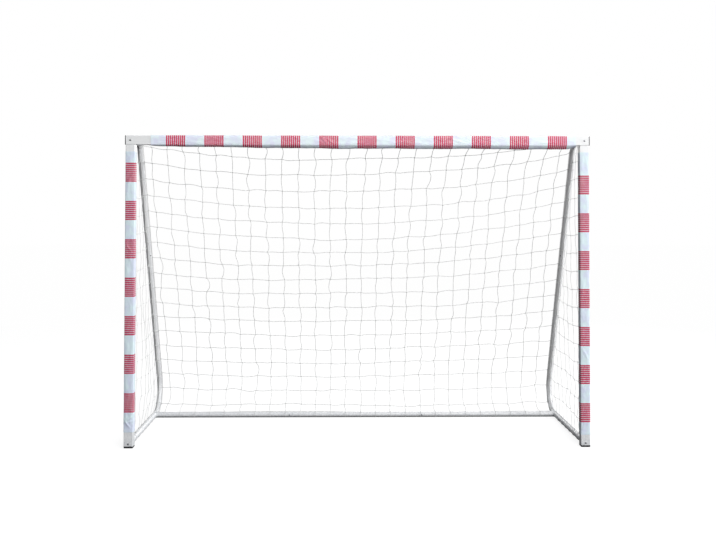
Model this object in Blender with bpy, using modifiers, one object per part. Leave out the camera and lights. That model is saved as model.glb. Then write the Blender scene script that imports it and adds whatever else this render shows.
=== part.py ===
"""Free-standing soccer goal of white steel tube, with striped sleeves and a cord net.

Square tube makes the crossbar and the posts. Round tube makes the two side frames and the
rear rail, with swaged ends that push into the next length. Lengths are in metres and +Z is
up. The goal mouth faces -Y, and the origin lies on the ground under the middle of the goal.
"""

import math

import bmesh
import bpy
from mathutils import Matrix, Vector

# Overall size
WIDTH = 3.00  # over the end caps of the crossbar
HEIGHT = 2.00  # from the ground to the top of the crossbar
DEPTH = 1.20  # from the bolt heads to the back of the side frames
GAP = 0.0003  # between faces that touch

# Square tube of the front frame
SQUARE = 0.060
SQUARE_CORNER = 0.004
WALL = 0.0012
INSERT_LENGTH = 0.240
INSERT_WALL = 0.0015
SPIGOT_LENGTH = 0.150
POST_JOINT_Z = 1.000

# Round tube of the side frames and the rear rail
ROUND = 0.038
ROUND_RESOLUTION = 6  # sixteen sides
NECK = 0.0344
NECK_LENGTH = 0.060
SHOULDER = 0.002

# Side frame, with distances behind the posts
STAY_LEAN = math.radians(26.2)  # from the vertical
TOP_BEND = 0.080
REAR_BEND = 0.160
STAY_SEAM_Z = 1.180
GROUND_SEAM = 0.880
RAIL_BACK = 0.925

# Rear rail
RAIL_SEAM_X = 0.463
STUB_REACH = 0.054  # from the axis of the ground tube
STUB_FILL = 0.7  # share of the stub's free length that the rail's swaged end fills

# Black plastic caps
CAP_FLANGE = 0.005
CAP_PLUG = 0.018
CAP_WALL = 0.0025
FOOT_SOLE = 0.012
FOOT_PLUG = 0.009

# Fasteners
BOLT_RADIUS = 0.004
BOLT_HEAD_RADIUS = 0.006
BOLT_HEAD = 0.004
BOLT_LENGTH = 0.080
BOLT_CLEARANCE = 0.0043
FOOT_BOLT_Z = 0.027
PLUG_RADIUS = 0.0171
PLUG_LENGTH = 0.020
SCREW_RADIUS = 0.002
SCREW_HEAD_RADIUS = 0.0045
SCREW_HEAD = 0.0026
SCREW_LENGTH = 0.009
SCREW_CLEARANCE = 0.0024
SCREW_FROM_SEAM = 0.020

# Striped sleeves of thin coated fabric
SLEEVE_CLEARANCE = 0.0006
SLEEVE_THICKNESS = 0.0010
BAR_SLEEVE_LEFT = -1.335
BAR_SLEEVE_RIGHT = 1.411
BAR_FIRST_BLOCK = -1.244
BAR_BLOCKS = 11
BAR_SLACK = 0.020
BAR_SLACK_START = 0.15  # half turns of the sine that the slack follows from left to right
BAR_SLACK_RUN = 0.55
POST_SLEEVE_TOP = 1.896
POST_SLACK = 0.003
POST_SLACK_WAVES = 3.5
POST_BLOCKS = 7
LEFT_SLEEVE_BOTTOM = 0.102
LEFT_FIRST_BLOCK = 1.815
RIGHT_SLEEVE_BOTTOM = 0.080
RIGHT_FIRST_BLOCK = 1.741
BLOCK_WIDTH = 0.122
BLOCK_PITCH = 0.2465

# Net, slack between the side frames and with flat side panels
CORD = 0.004
NET_CLEARANCE = 0.0030  # from the centre of an edge cord to the tube that it is tied to
SIDE_MESH = 0.190
SIDE_COLUMNS = 8
SIDE_ROWS = 11
BACK_COLUMNS = 15
TOP_ROWS = 1
BACK_ROWS = 10
FOOT_ROWS = 2
NET_SAG_TOP = Vector((0, -0.044, -0.126))  # of the net's middle, behind the crossbar
NET_SAG_FOOT = Vector((0, -0.044, -0.030))  # and at the foot of the stays
NO_SAG = Vector((0, 0, 0))
SAG_POWER = 2.4  # a parabola has 2, and more is flatter in the middle

# Places that follow from the sizes above, behind the posts where they have one number
POST_X = WIDTH / 2 - CAP_FLANGE - SQUARE / 2
POST_Y = SQUARE / 2 + GAP + BOLT_HEAD - DEPTH / 2
BAR_Z = HEIGHT - SQUARE / 2
BAR_HALF = POST_X + SQUARE / 2
BAR_SEAM_X = BAR_HALF / 3
POST_BACK = SQUARE / 2
REAR_CENTRE = Vector((0, DEPTH / 2 - POST_Y - ROUND / 2 - REAR_BEND, ROUND / 2 + REAR_BEND))
STAY_UP = Vector((0, -math.sin(STAY_LEAN), math.cos(STAY_LEAN)))
STAY_FRONT = Vector((0, -math.cos(STAY_LEAN), -math.sin(STAY_LEAN)))
STAY_FOOT = REAR_CENTRE + REAR_BEND * Vector((0, math.cos(STAY_LEAN), math.sin(STAY_LEAN)))
STAY_TOP = STAY_FOOT + STAY_UP * (BAR_Z - STAY_FOOT.z) / STAY_UP.z
TOP_TURN = math.pi / 2 - STAY_LEAN
TOP_CENTRE = STAY_TOP - Vector((0, TOP_BEND * math.tan(TOP_TURN / 2), TOP_BEND))
GROUND_FRONT = Vector((0, POST_BACK + 2 * GAP, FOOT_BOLT_Z))
GROUND_REAR = Vector((0, REAR_CENTRE.y, ROUND / 2))

SIDES = {"left": -1, "right": 1}


def clear_scene():
    """Remove every object of the open scene."""
    for old in list(bpy.data.objects):
        bpy.data.objects.remove(old)


def new_collection(name):
    """Add a collection to the scene."""
    collection = bpy.data.collections.new(name)
    bpy.context.scene.collection.children.link(collection)
    return collection


def new_material(name, colour, metallic, roughness):
    """Make a plain finish."""
    material = bpy.data.materials.new(name)
    material.use_nodes = True
    shader = material.node_tree.nodes["Principled BSDF"]
    shader.inputs["Base Color"].default_value = (*colour, 1)
    shader.inputs["Metallic"].default_value = metallic
    shader.inputs["Roughness"].default_value = roughness
    return material


def along(direction):
    """Rotation that turns +Z to a direction."""
    return Vector(direction).to_track_quat("Z", "Y").to_matrix().to_4x4()


clear_scene()
GOAL = new_collection("soccer_goal")
CUTTERS = new_collection("goal_cutters")
POST_LINE = bpy.data.objects.new("post_line", None)
POST_LINE.location = (0, POST_Y, 0)
GOAL.objects.link(POST_LINE)
WHITE_STEEL = ((0.80, 0.81, 0.82), 0.0, 0.35)
BLACK_PLASTIC = ((0.02, 0.02, 0.022), 0.0, 0.5)
ZINC = ((0.45, 0.45, 0.46), 1.0, 0.35)
NET_WHITE = ((0.75, 0.76, 0.76), 0.0, 0.8)
SLEEVE_WHITE = ((0.66, 0.76, 0.80), 0.0, 0.6)
SLEEVE_RED = ((0.50, 0.03, 0.08), 0.0, 0.6)


def add_piece(name, mesh, finish, matrix=None):
    """Put a mesh in the goal, placed from the line of the posts."""
    piece = bpy.data.objects.new(name, mesh)
    piece.parent = POST_LINE
    piece.matrix_basis = matrix or Matrix()
    mesh.materials.append(new_material(name, *finish))
    GOAL.objects.link(piece)
    return piece


def mesh_from(name, bm, smooth=False):
    """Turn a bmesh into a mesh, with round faces shaded smooth."""
    mesh = bpy.data.meshes.new(name)
    bm.to_mesh(mesh)
    bm.free()
    if smooth:
        mesh.shade_smooth()
        mesh.set_sharp_from_angle(angle=math.radians(40))
    return mesh


def add_wall(piece, thickness, offset):
    """Give an open surface its wall, inwards at offset -1 and outwards at 1."""
    wall = piece.modifiers.new("wall", "SOLIDIFY")
    wall.thickness = thickness
    wall.offset = offset
    wall.use_even_offset = True


def cut(piece, start, end, radius, sides=16):
    """Cut a round hole through a piece from one point to another."""
    start, end = Vector(start), Vector(end)
    bm = bmesh.new()
    length = (end - start).length
    bmesh.ops.create_cone(bm, cap_ends=True, segments=sides, radius1=radius, radius2=radius, depth=length)
    cutter = bpy.data.objects.new(f"cutter_{len(CUTTERS.objects)}", mesh_from("cutter", bm))
    cutter.parent = POST_LINE
    cutter.matrix_basis = Matrix.Translation((start + end) / 2) @ along(end - start)
    cutter.hide_render = True
    cutter.display_type = "WIRE"
    CUTTERS.objects.link(cutter)
    hole = piece.modifiers.new("hole", "BOOLEAN")
    hole.operation = "DIFFERENCE"
    hole.solver = "EXACT"
    hole.object = cutter


def square_surface(side, length, corner):
    """Open square tube along Z, centred, with rounded corners."""
    bm = bmesh.new()
    bmesh.ops.create_cube(bm, size=1)
    bmesh.ops.scale(bm, vec=(side, side, length), verts=bm.verts)
    ends = [face for face in bm.faces if abs(face.normal.z) > 0.5]
    bmesh.ops.delete(bm, geom=ends, context="FACES_ONLY")
    long_edges = [edge for edge in bm.edges if not edge.is_boundary]
    bmesh.ops.bevel(bm, geom=long_edges, offset=corner, segments=3, profile=0.5, affect="EDGES")
    return bm


def square_tube(name, start, end, side=SQUARE, wall=WALL, corner=SQUARE_CORNER):
    """Square steel tube from one point to another, with open ends."""
    start, end = Vector(start), Vector(end)
    bm = square_surface(side, (end - start).length, corner)
    place = Matrix.Translation((start + end) / 2) @ along(end - start)
    tube = add_piece(name, mesh_from(name, bm, smooth=True), WHITE_STEEL, place)
    add_wall(tube, wall, -1)
    return tube


def round_tube(name, stations):
    """Round steel tube along stations of a point and a radius, with open ends."""
    curve = bpy.data.curves.new(name, "CURVE")
    curve.dimensions = "3D"
    curve.bevel_depth = ROUND / 2
    curve.bevel_resolution = ROUND_RESOLUTION
    spline = curve.splines.new("POLY")
    spline.points.add(len(stations) - 1)
    for point, (place, radius) in zip(spline.points, stations):
        point.co = (*place, 1)
        point.radius = radius / (ROUND / 2)
    path = bpy.data.objects.new(name + "_path", curve)
    GOAL.objects.link(path)
    mesh = bpy.data.meshes.new_from_object(path.evaluated_get(bpy.context.evaluated_depsgraph_get()))
    bpy.data.objects.remove(path)
    mesh.shade_smooth()
    mesh.set_sharp_from_angle(angle=math.radians(40))
    tube = add_piece(name, mesh, WHITE_STEEL)
    add_wall(tube, WALL, -1)
    return tube


def full(points):
    """Stations of a tube at its full diameter."""
    return [(point, ROUND / 2) for point in points]


def neck(joint, direction):
    """Stations of a swaged end that enters the next tube at a joint, shoulder first."""
    return [
        (joint - direction * (GAP + SHOULDER), ROUND / 2),
        (joint - direction * GAP, NECK / 2),
        (joint + direction * NECK_LENGTH, NECK / 2),
    ]


def arc(centre, radius, start, end, steps):
    """Points on an arc in the YZ plane from one angle to another."""
    angles = [start + (end - start) * step / steps for step in range(steps + 1)]
    return [centre + radius * Vector((0, math.cos(angle), math.sin(angle))) for angle in angles]


def top_bend(steps):
    """Centreline of the bend behind the crossbar."""
    return arc(TOP_CENTRE, TOP_BEND, math.pi / 2, STAY_LEAN, steps)


def rear_bend(steps):
    """Centreline of the bend at the back of the ground."""
    return arc(REAR_CENTRE, REAR_BEND, STAY_LEAN, -math.pi / 2, steps)


def stay_point(height):
    """Point of the leaning stay at a height."""
    return STAY_FOOT + STAY_UP * (height - STAY_FOOT.z) / STAY_UP.z


def ground_point(back):
    """Point of the ground tube at a distance behind the posts."""
    share = (back - GROUND_FRONT.y) / (GROUND_REAR.y - GROUND_FRONT.y)
    return GROUND_FRONT.lerp(GROUND_REAR, share)


def turned(name, profile, finish, matrix, sides=16):
    """Piece turned about its Z axis from a profile of radius and height, top first."""
    bm = bmesh.new()
    points = [bm.verts.new((radius, 0, height)) for radius, height in profile]
    for above, below in zip(points, points[1:]):
        bm.edges.new((above, below))
    piece = add_piece(name, mesh_from(name, bm), finish, matrix)
    screw = piece.modifiers.new("turn", "SCREW")
    screw.steps = sides
    screw.render_steps = sides
    screw.use_merge_vertices = True
    screw.merge_threshold = 0.00001
    return piece


def build_crossbar():
    """Crossbar in three lengths over two inserts, with a bolt hole near each end."""
    ends = [-BAR_HALF, -BAR_SEAM_X, BAR_SEAM_X, BAR_HALF]
    names = ["crossbar_left", "crossbar_middle", "crossbar_right"]
    bars = [
        square_tube(name, (start + GAP / 2, 0, BAR_Z), (end - GAP / 2, 0, BAR_Z))
        for name, start, end in zip(names, ends, ends[1:])
    ]
    for side, bar in (("left", bars[0]), ("right", bars[2])):
        cut_for_corner_bolt(bar, SIDES[side] * POST_X, BAR_Z)
        seam = Vector((SIDES[side] * BAR_SEAM_X, 0, BAR_Z))
        build_insert(f"crossbar_insert_{side}", seam, Vector((1, 0, 0)))


def build_insert(name, seam, direction):
    """Square tube inside a seam of the front frame, half of it in each length."""
    inner = SQUARE - 2 * WALL - 2 * GAP
    reach = direction * INSERT_LENGTH / 2
    square_tube(name, seam - reach, seam + reach, inner, INSERT_WALL, SQUARE_CORNER - WALL)


def build_post(side):
    """Post in two lengths over an insert, pushed up on a spigot under the crossbar."""
    x = SIDES[side] * POST_X
    top = BAR_Z - SQUARE / 2 - GAP
    square_tube(f"post_{side}_upper", (x, 0, POST_JOINT_Z + GAP / 2), (x, 0, top))
    lower = square_tube(f"post_{side}_lower", (x, 0, FOOT_SOLE + GAP), (x, 0, POST_JOINT_Z - GAP / 2))
    cut_for_corner_bolt(lower, x, FOOT_BOLT_Z)
    build_insert(f"post_insert_{side}", Vector((x, 0, POST_JOINT_Z)), Vector((0, 0, 1)))
    inner = SQUARE - 2 * WALL - 2 * GAP
    spigot = f"post_spigot_{side}"
    square_tube(spigot, (x, 0, top - SPIGOT_LENGTH), (x, 0, top), inner, INSERT_WALL, SQUARE_CORNER - WALL)


def cut_for_corner_bolt(tube, x, z):
    """Bolt hole from front to back through a square tube."""
    cut(tube, (x, -SQUARE, z), (x, SQUARE, z), BOLT_CLEARANCE)


def build_cap(name, matrix, sole, plug):
    """Plastic cap with its sole on local Z 0 and a hollow plug that points up local Z."""
    bm = bmesh.new()
    bmesh.ops.create_cube(bm, size=1)
    bmesh.ops.scale(bm, vec=(SQUARE, SQUARE, sole), verts=bm.verts)
    bmesh.ops.translate(bm, vec=(0, 0, sole / 2), verts=bm.verts)
    upright = [edge for edge in bm.edges if abs(edge.verts[0].co.z - edge.verts[1].co.z) > sole / 2]
    bmesh.ops.bevel(bm, geom=upright, offset=SQUARE_CORNER, segments=3, profile=0.5, affect="EDGES")
    rim = [edge for edge in bm.edges if all(vert.co.z < sole / 2 for vert in edge.verts)]
    bmesh.ops.bevel(bm, geom=rim, offset=sole / 4, segments=1, profile=0.5, affect="EDGES")
    top = max(bm.faces, key=lambda face: face.calc_center_median().z)
    bmesh.ops.inset_region(bm, faces=[top], thickness=WALL + GAP)
    raise_face(bm, top, plug)
    top = max(bm.faces, key=lambda face: face.calc_center_median().z)
    bmesh.ops.inset_region(bm, faces=[top], thickness=CAP_WALL)
    raise_face(bm, top, -plug)
    add_piece(name, mesh_from(name, bm, smooth=True), BLACK_PLASTIC, matrix)


def raise_face(bm, face, height):
    """Extrude a face along Z by a height, down if it is negative."""
    out = bmesh.ops.extrude_face_region(bm, geom=[face])
    raised = [item for item in out["geom"] if isinstance(item, bmesh.types.BMVert)]
    bmesh.ops.translate(bm, vec=(0, 0, height), verts=raised)
    bmesh.ops.delete(bm, geom=[face], context="FACES_ONLY")


def build_caps(side):
    """End cap of the crossbar and foot cap of the post on one side."""
    sign = SIDES[side]
    end = Matrix.Translation((sign * WIDTH / 2, 0, BAR_Z)) @ along((-sign, 0, 0))
    build_cap(f"crossbar_end_cap_{side}", end, CAP_FLANGE - GAP, CAP_PLUG)
    build_cap(f"foot_cap_{side}", Matrix.Translation((sign * POST_X, 0, 0)), FOOT_SOLE, FOOT_PLUG)


def build_side_frame(side):
    """Upper stay, lower stay with the rear bend, and ground tube of one side."""
    shift = Vector((SIDES[side] * POST_X, 0, 0))
    seam = stay_point(STAY_SEAM_Z)
    start = Vector((0, POST_BACK + GAP, BAR_Z))
    upper = full([start, *top_bend(6), seam])
    rear_end = ground_point(GROUND_SEAM)
    lower = neck(seam, STAY_UP)[::-1] + full([*rear_bend(11), rear_end])
    forward = (GROUND_FRONT - GROUND_REAR).normalized()
    ground = full([GROUND_FRONT]) + neck(rear_end, -forward)
    pieces = {"stay_upper": upper, "stay_lower": lower, "ground_tube": ground}
    tubes = {
        name: round_tube(f"{name}_{side}", [(shift + point, radius) for point, radius in stations])
        for name, stations in pieces.items()
    }
    screw_place = shift + seam + STAY_UP * SCREW_FROM_SEAM
    outward = (Vector((-SIDES[side], 0, 0)) + STAY_FRONT).normalized()
    build_screw(f"stay_screw_{side}", screw_place, outward, [tubes["stay_upper"], tubes["stay_lower"]])


def build_rear_rail():
    """Rear rail in three lengths, held in a stub on each ground tube."""
    axis = Vector((0, RAIL_BACK, ground_point(RAIL_BACK).z))
    right = Vector((1, 0, 0))
    middle_end = axis + right * RAIL_SEAM_X
    middle_start = axis - right * RAIL_SEAM_X
    middle = round_tube("rear_rail_middle", neck(middle_start, -right)[::-1] + neck(middle_end, right))
    for side, sign in SIDES.items():
        out = right * sign
        inner = axis + out * RAIL_SEAM_X
        outer = axis + out * (POST_X - STUB_REACH)
        rail = round_tube(f"rear_rail_{side}", full([inner]) + short_neck(outer, out))
        screw_place = inner + out * SCREW_FROM_SEAM
        build_screw(f"rail_screw_{side}", screw_place, Vector((0, -1, 0)), [rail, middle])
        stub = round_tube(f"rail_stub_{side}", full([outer, axis + out * POST_X]))
        shift = out * POST_X
        saddle_start = shift + ground_point(RAIL_BACK - ROUND * 2)
        saddle_end = shift + ground_point(RAIL_BACK + ROUND * 2)
        cut(stub, saddle_start, saddle_end, ROUND / 2 + GAP, sides=32)


def short_neck(joint, direction):
    """Stations of the swaged end that fits in a stub."""
    stations = neck(joint, direction)
    stations[-1] = (joint + direction * (STUB_REACH - ROUND / 2) * STUB_FILL, NECK / 2)
    return stations


def build_screw(name, place, outward, tubes):
    """Pan head screw through a tube and the neck in it, with its hole in both."""
    profile = [
        (0, SCREW_HEAD),
        (SCREW_HEAD_RADIUS * 0.6, SCREW_HEAD * 0.88),
        (SCREW_HEAD_RADIUS * 0.92, SCREW_HEAD * 0.5),
        (SCREW_HEAD_RADIUS, 0),
        (SCREW_RADIUS, 0),
        (SCREW_RADIUS, -SCREW_LENGTH * 0.8),
        (0, -SCREW_LENGTH),
    ]
    seat = place + outward * (ROUND / 2 + GAP)
    turned(name, profile, ZINC, Matrix.Translation(seat) @ along(outward), sides=12)
    for tube in tubes:
        cut(tube, place, place + outward * ROUND, SCREW_CLEARANCE, sides=12)


def build_corner_bolt(name, x, z):
    """Dome head bolt through a square tube, and the threaded plug in the round tube behind."""
    head = [
        (0, BOLT_HEAD),
        (BOLT_HEAD_RADIUS * 0.55, BOLT_HEAD * 0.9),
        (BOLT_HEAD_RADIUS * 0.88, BOLT_HEAD * 0.55),
        (BOLT_HEAD_RADIUS, 0),
        (BOLT_RADIUS, 0),
        (BOLT_RADIUS, -BOLT_LENGTH + BOLT_RADIUS / 2),
        (BOLT_RADIUS / 2, -BOLT_LENGTH),
        (0, -BOLT_LENGTH),
    ]
    place = Matrix.Translation((x, -SQUARE / 2 - GAP, z)) @ along((0, -1, 0))
    turned(f"corner_bolt_{name}", head, ZINC, place)
    half = PLUG_LENGTH / 2
    ring = [(PLUG_RADIUS, half), (PLUG_RADIUS, -half), (BOLT_CLEARANCE, -half), (BOLT_CLEARANCE, half)]
    middle = POST_BACK + 0.002 + half
    place = Matrix.Translation((x, middle, z)) @ along((0, -1, 0))
    turned(f"threaded_plug_{name}", [*ring, ring[0]], ZINC, place)


def build_sleeve(name, matrix, length, blocks, slack):
    """Striped sleeve along local Z from 0, with slack that hangs to local -Y."""
    half = SQUARE / 2 + SLEEVE_CLEARANCE
    bm = square_surface(half * 2, length, SQUARE_CORNER)
    bmesh.ops.translate(bm, vec=(0, 0, length / 2), verts=bm.verts)
    for x in (-half / 2, 0, half / 2):
        below = [face for face in bm.faces if face.normal.y < -0.99]
        edges = {edge for face in below for edge in face.edges}
        verts = {vert for face in below for vert in face.verts}
        split(bm, [*below, *edges, *verts], (x, 0, 0), (1, 0, 0))
    for start, end in blocks:
        for z in (start, end):
            split(bm, [*bm.verts, *bm.edges, *bm.faces], (0, 0, z), (0, 0, 1))
    for vert in bm.verts:
        if vert.co.y < 0:
            vert.co.y -= slack(vert.co.z / length) * max(0, 1 - (vert.co.x / half) ** 2)
    for face in bm.faces:
        z = face.calc_center_median().z
        face.material_index = int(any(start < z < end for start, end in blocks))
    sleeve = add_piece(name, mesh_from(name, bm), SLEEVE_WHITE, matrix)
    sleeve.data.materials.append(new_material(name + "_red", *SLEEVE_RED))
    add_wall(sleeve, SLEEVE_THICKNESS, 1)


def split(bm, geometry, point, normal):
    """Add an edge loop where a plane crosses some geometry."""
    bmesh.ops.bisect_plane(bm, geom=geometry, plane_co=point, plane_no=normal)


def blocks_from(first, count):
    """Start and end of each red block along a sleeve."""
    return [(first + BLOCK_PITCH * index, first + BLOCK_PITCH * index + BLOCK_WIDTH) for index in range(count)]


def bar_slack(share):
    """Slack under the crossbar, fuller to the right and drawn in at both ends."""
    swell = math.sin(math.pi * (BAR_SLACK_START + BAR_SLACK_RUN * share))
    return BAR_SLACK * (0.45 + 0.6 * swell)


def post_slack(share):
    """Slack behind a post, in long shallow waves."""
    return POST_SLACK * (0.7 + 0.3 * math.sin(2 * math.pi * POST_SLACK_WAVES * share))


def build_sleeves():
    """Sleeves of the crossbar and of the two posts."""
    bar = Matrix(((0, 0, 1), (1, 0, 0), (0, 1, 0))).to_4x4()
    bar = Matrix.Translation((BAR_SLEEVE_LEFT, 0, BAR_Z)) @ bar
    bar_blocks = blocks_from(BAR_FIRST_BLOCK - BAR_SLEEVE_LEFT, BAR_BLOCKS)
    build_sleeve("crossbar_sleeve", bar, BAR_SLEEVE_RIGHT - BAR_SLEEVE_LEFT, bar_blocks, bar_slack)
    posts = {
        "left": (LEFT_SLEEVE_BOTTOM, LEFT_FIRST_BLOCK),
        "right": (RIGHT_SLEEVE_BOTTOM, RIGHT_FIRST_BLOCK),
    }
    downward = Matrix(((1, 0, 0), (0, -1, 0), (0, 0, -1))).to_4x4()
    for side, (bottom, first) in posts.items():
        place = Matrix.Translation((SIDES[side] * POST_X, 0, POST_SLEEVE_TOP)) @ downward
        blocks = blocks_from(POST_SLEEVE_TOP - first, POST_BLOCKS)
        build_sleeve(f"post_sleeve_{side}", place, POST_SLEEVE_TOP - bottom, blocks, post_slack)


def add_net(name, bm):
    """Turn the edges of a grid into cords."""
    net = add_piece(name, mesh_from(name, bm), NET_WHITE)
    cords = net.modifiers.new("cords", "WIREFRAME")
    cords.thickness = CORD
    cords.use_even_offset = True
    cords.use_boundary = True
    cords.use_replace = True


def build_net_panel(name, top, bottom, rows, sag_top, sag_bottom):
    """Net between the stays from one point of their line to another, sagging in the middle."""
    half = POST_X - ROUND / 2 - NET_CLEARANCE
    inset = (bottom - top).normalized() * (CORD / 2 + GAP)
    top, bottom = top + inset, bottom - inset
    bm = bmesh.new()
    bmesh.ops.create_grid(bm, x_segments=BACK_COLUMNS, y_segments=rows, size=1)
    for vert in bm.verts:
        across, up = vert.co.x, (vert.co.y + 1) / 2
        hang = 1 - abs(across) ** SAG_POWER
        place = bottom.lerp(top, up) + sag_bottom.lerp(sag_top, up) * hang
        vert.co = place + Vector((across * half, 0, 0))
    add_net(name, bm)


def build_net_side(side):
    """Net inside one side frame, with square meshes cut off along the tubes."""
    inset = ROUND / 2 + NET_CLEARANCE
    front = POST_BACK + SLEEVE_CLEARANCE + POST_SLACK + SLEEVE_THICKNESS + NET_CLEARANCE
    outline = [GROUND_FRONT, Vector((0, 0, BAR_Z)), *top_bend(2), *rear_bend(3), GROUND_FRONT]
    row = SIDE_MESH / (2 * math.tan(STAY_LEAN))
    ceiling = BAR_Z - inset
    edge_at_top = stay_point(ceiling).y - inset / math.cos(STAY_LEAN)
    low = Vector((0, edge_at_top - SIDE_MESH * 1.5, ceiling - row * SIDE_ROWS))
    bm = bmesh.new()
    bmesh.ops.create_grid(bm, x_segments=SIDE_COLUMNS, y_segments=SIDE_ROWS, size=0.5)
    across = Vector((0, SIDE_MESH * SIDE_COLUMNS, 0))
    up = Vector((0, 0, row * SIDE_ROWS))
    turn = Matrix((across, up, Vector((1, 0, 0)))).transposed().to_4x4()
    bm.transform(Matrix.Translation(low + (across + up) / 2) @ turn)
    keep_inside(bm, Vector((0, front, 0)), Vector((0, -1, 0)))
    for start, end in zip(outline[1:], outline[2:]):
        run = (end - start).normalized()
        outward = Vector((0, -run.z, run.y))
        keep_inside(bm, start - outward * inset, outward)
    bmesh.ops.translate(bm, vec=(SIDES[side] * POST_X, 0, 0), verts=bm.verts)
    add_net(f"net_{side}", bm)


def keep_inside(bm, point, outward):
    """Cut a flat grid along a line and drop what lies outside it."""
    geometry = [*bm.verts, *bm.edges, *bm.faces]
    bmesh.ops.bisect_plane(bm, geom=geometry, plane_co=point, plane_no=outward, clear_outer=True)


def build_net():
    """Net in five panels: top, back and foot with its sag, and the two flat sides."""
    bar_edge = POST_BACK + SLEEVE_CLEARANCE + SLEEVE_THICKNESS + NET_CLEARANCE - CORD / 2
    bar = Vector((0, bar_edge, BAR_Z))
    build_net_panel("net_top", bar, STAY_TOP, TOP_ROWS, NO_SAG, NET_SAG_TOP)
    build_net_panel("net_back", STAY_TOP, STAY_FOOT, BACK_ROWS, NET_SAG_TOP, NET_SAG_FOOT)
    rail = Vector((0, RAIL_BACK, ground_point(RAIL_BACK).z))
    off_rail = (STAY_FOOT - rail).normalized() * (ROUND / 2 + NET_CLEARANCE - CORD / 2)
    build_net_panel("net_foot", STAY_FOOT, rail + off_rail, FOOT_ROWS, NET_SAG_FOOT, NO_SAG)
    for side in SIDES:
        build_net_side(side)


def build_goal():
    """Build every piece of the goal."""
    build_crossbar()
    for side in SIDES:
        build_post(side)
        build_caps(side)
        build_side_frame(side)
        build_corner_bolt(f"top_{side}", SIDES[side] * POST_X, BAR_Z)
        build_corner_bolt(f"foot_{side}", SIDES[side] * POST_X, FOOT_BOLT_Z)
    build_rear_rail()
    build_sleeves()
    build_net()


build_goal()
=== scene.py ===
"""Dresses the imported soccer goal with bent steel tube, striped fabric sleeves and a cord net.

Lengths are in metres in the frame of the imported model: +X to the right of the mouth, +Y from
the mouth back to the net and +Z up. Sizes called "back" are measured behind the line of the
posts, as on the real side frames.
"""

from __future__ import annotations

import logging
import math
from collections.abc import Callable, Iterator, Sequence
from contextlib import contextmanager
from dataclasses import dataclass, field
from enum import Enum

import bmesh
import bpy
import numpy as np
from mathutils import Matrix, Vector

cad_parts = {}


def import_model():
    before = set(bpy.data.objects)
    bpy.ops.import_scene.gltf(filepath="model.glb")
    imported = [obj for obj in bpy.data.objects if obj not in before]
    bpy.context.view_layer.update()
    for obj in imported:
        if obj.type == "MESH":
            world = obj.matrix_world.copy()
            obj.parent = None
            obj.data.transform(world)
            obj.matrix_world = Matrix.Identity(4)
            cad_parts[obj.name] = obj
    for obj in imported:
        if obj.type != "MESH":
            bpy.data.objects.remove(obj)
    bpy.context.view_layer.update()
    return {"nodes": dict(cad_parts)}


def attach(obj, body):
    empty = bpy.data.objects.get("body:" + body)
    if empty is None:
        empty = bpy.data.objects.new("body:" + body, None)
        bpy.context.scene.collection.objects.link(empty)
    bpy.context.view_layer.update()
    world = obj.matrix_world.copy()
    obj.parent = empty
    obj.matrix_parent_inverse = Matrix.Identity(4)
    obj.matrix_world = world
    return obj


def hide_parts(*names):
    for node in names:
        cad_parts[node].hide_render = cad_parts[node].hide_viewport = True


LOG = logging.getLogger("soccer_goal")
BODY = "root"
BLOCK_PITCH = 0.2465  # from one printed block of a sleeve to the next

Colour = tuple[float, float, float]
Place = tuple[float, float, float]


class Side(Enum):
    """Left or right half of the goal, as seen from in front of the mouth."""

    LEFT = ("left", -1)
    RIGHT = ("right", 1)

    @property
    def label(self) -> str:
        """Word used in the names of the pieces."""
        return self.value[0]

    @property
    def sign(self) -> int:
        """Direction of this side along X."""
        return self.value[1]


class Slot(Enum):
    """Material slots of the record."""

    STEEL = "white_steel"
    PLASTIC = "black_plastic"
    ZINC = "zinc_steel"
    FABRIC = "sleeve_fabric"
    CORD = "net_cord"


class Part(Enum):
    """Parts of a mesh that a test can select."""

    EDGES = "edges"
    FACES = "faces"


@dataclass(frozen=True)
class GoalSizes:
    """Sizes that several pieces share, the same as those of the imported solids."""

    post_x: float = 1.465
    post_y: float = -0.5657
    bar_z: float = 1.970
    square: float = 0.060
    gap: float = 0.0003
    tube: float = 0.038
    wall: float = 0.0012
    neck: float = 0.0344
    neck_length: float = 0.060
    shoulder: float = 0.002
    lean: float = math.radians(26.2)
    top_bend: float = 0.080
    rear_bend: float = 0.160
    rear_back: float = 0.9867
    rear_z: float = 0.179
    stay_seam_z: float = 1.180
    ground_seam: float = 0.880
    rail_back: float = 0.925
    rail_seam_x: float = 0.463
    stub_reach: float = 0.054
    foot_bolt_z: float = 0.027

    def at(self, x: float, back: float, z: float) -> Vector:
        """Point at a distance behind the line of the posts."""
        return Vector((x, self.post_y + back, z))

    @property
    def up_stay(self) -> Vector:
        """Direction up the leaning stay."""
        return Vector((0, -math.sin(self.lean), math.cos(self.lean)))

    @property
    def stay_foot(self) -> Vector:
        """Lower end of the straight stay, on the plane X = 0."""
        reach = self.rear_bend * Vector((0, math.cos(self.lean), math.sin(self.lean)))
        return self.at(0, self.rear_back, self.rear_z) + reach

    def stay_point(self, z: float) -> Vector:
        """Point of the leaning stay at a height."""
        return self.stay_foot + self.up_stay * (z - self.stay_foot.z) / self.up_stay.z

    @property
    def top_centre(self) -> Vector:
        """Centre of the bend behind the crossbar."""
        turn = math.pi / 2 - self.lean
        return self.stay_point(self.bar_z) - Vector((0, self.top_bend * math.tan(turn / 2), self.top_bend))

    def ground_point(self, back: float) -> Vector:
        """Point of the ground tube at a distance behind the posts."""
        front = self.at(0, self.square / 2 + 2 * self.gap, self.foot_bolt_z)
        rear = self.at(0, self.rear_back, self.tube / 2)
        return front.lerp(rear, (self.post_y + back - front.y) / (rear.y - front.y))


SIZES = GoalSizes()


# Shaders


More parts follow.
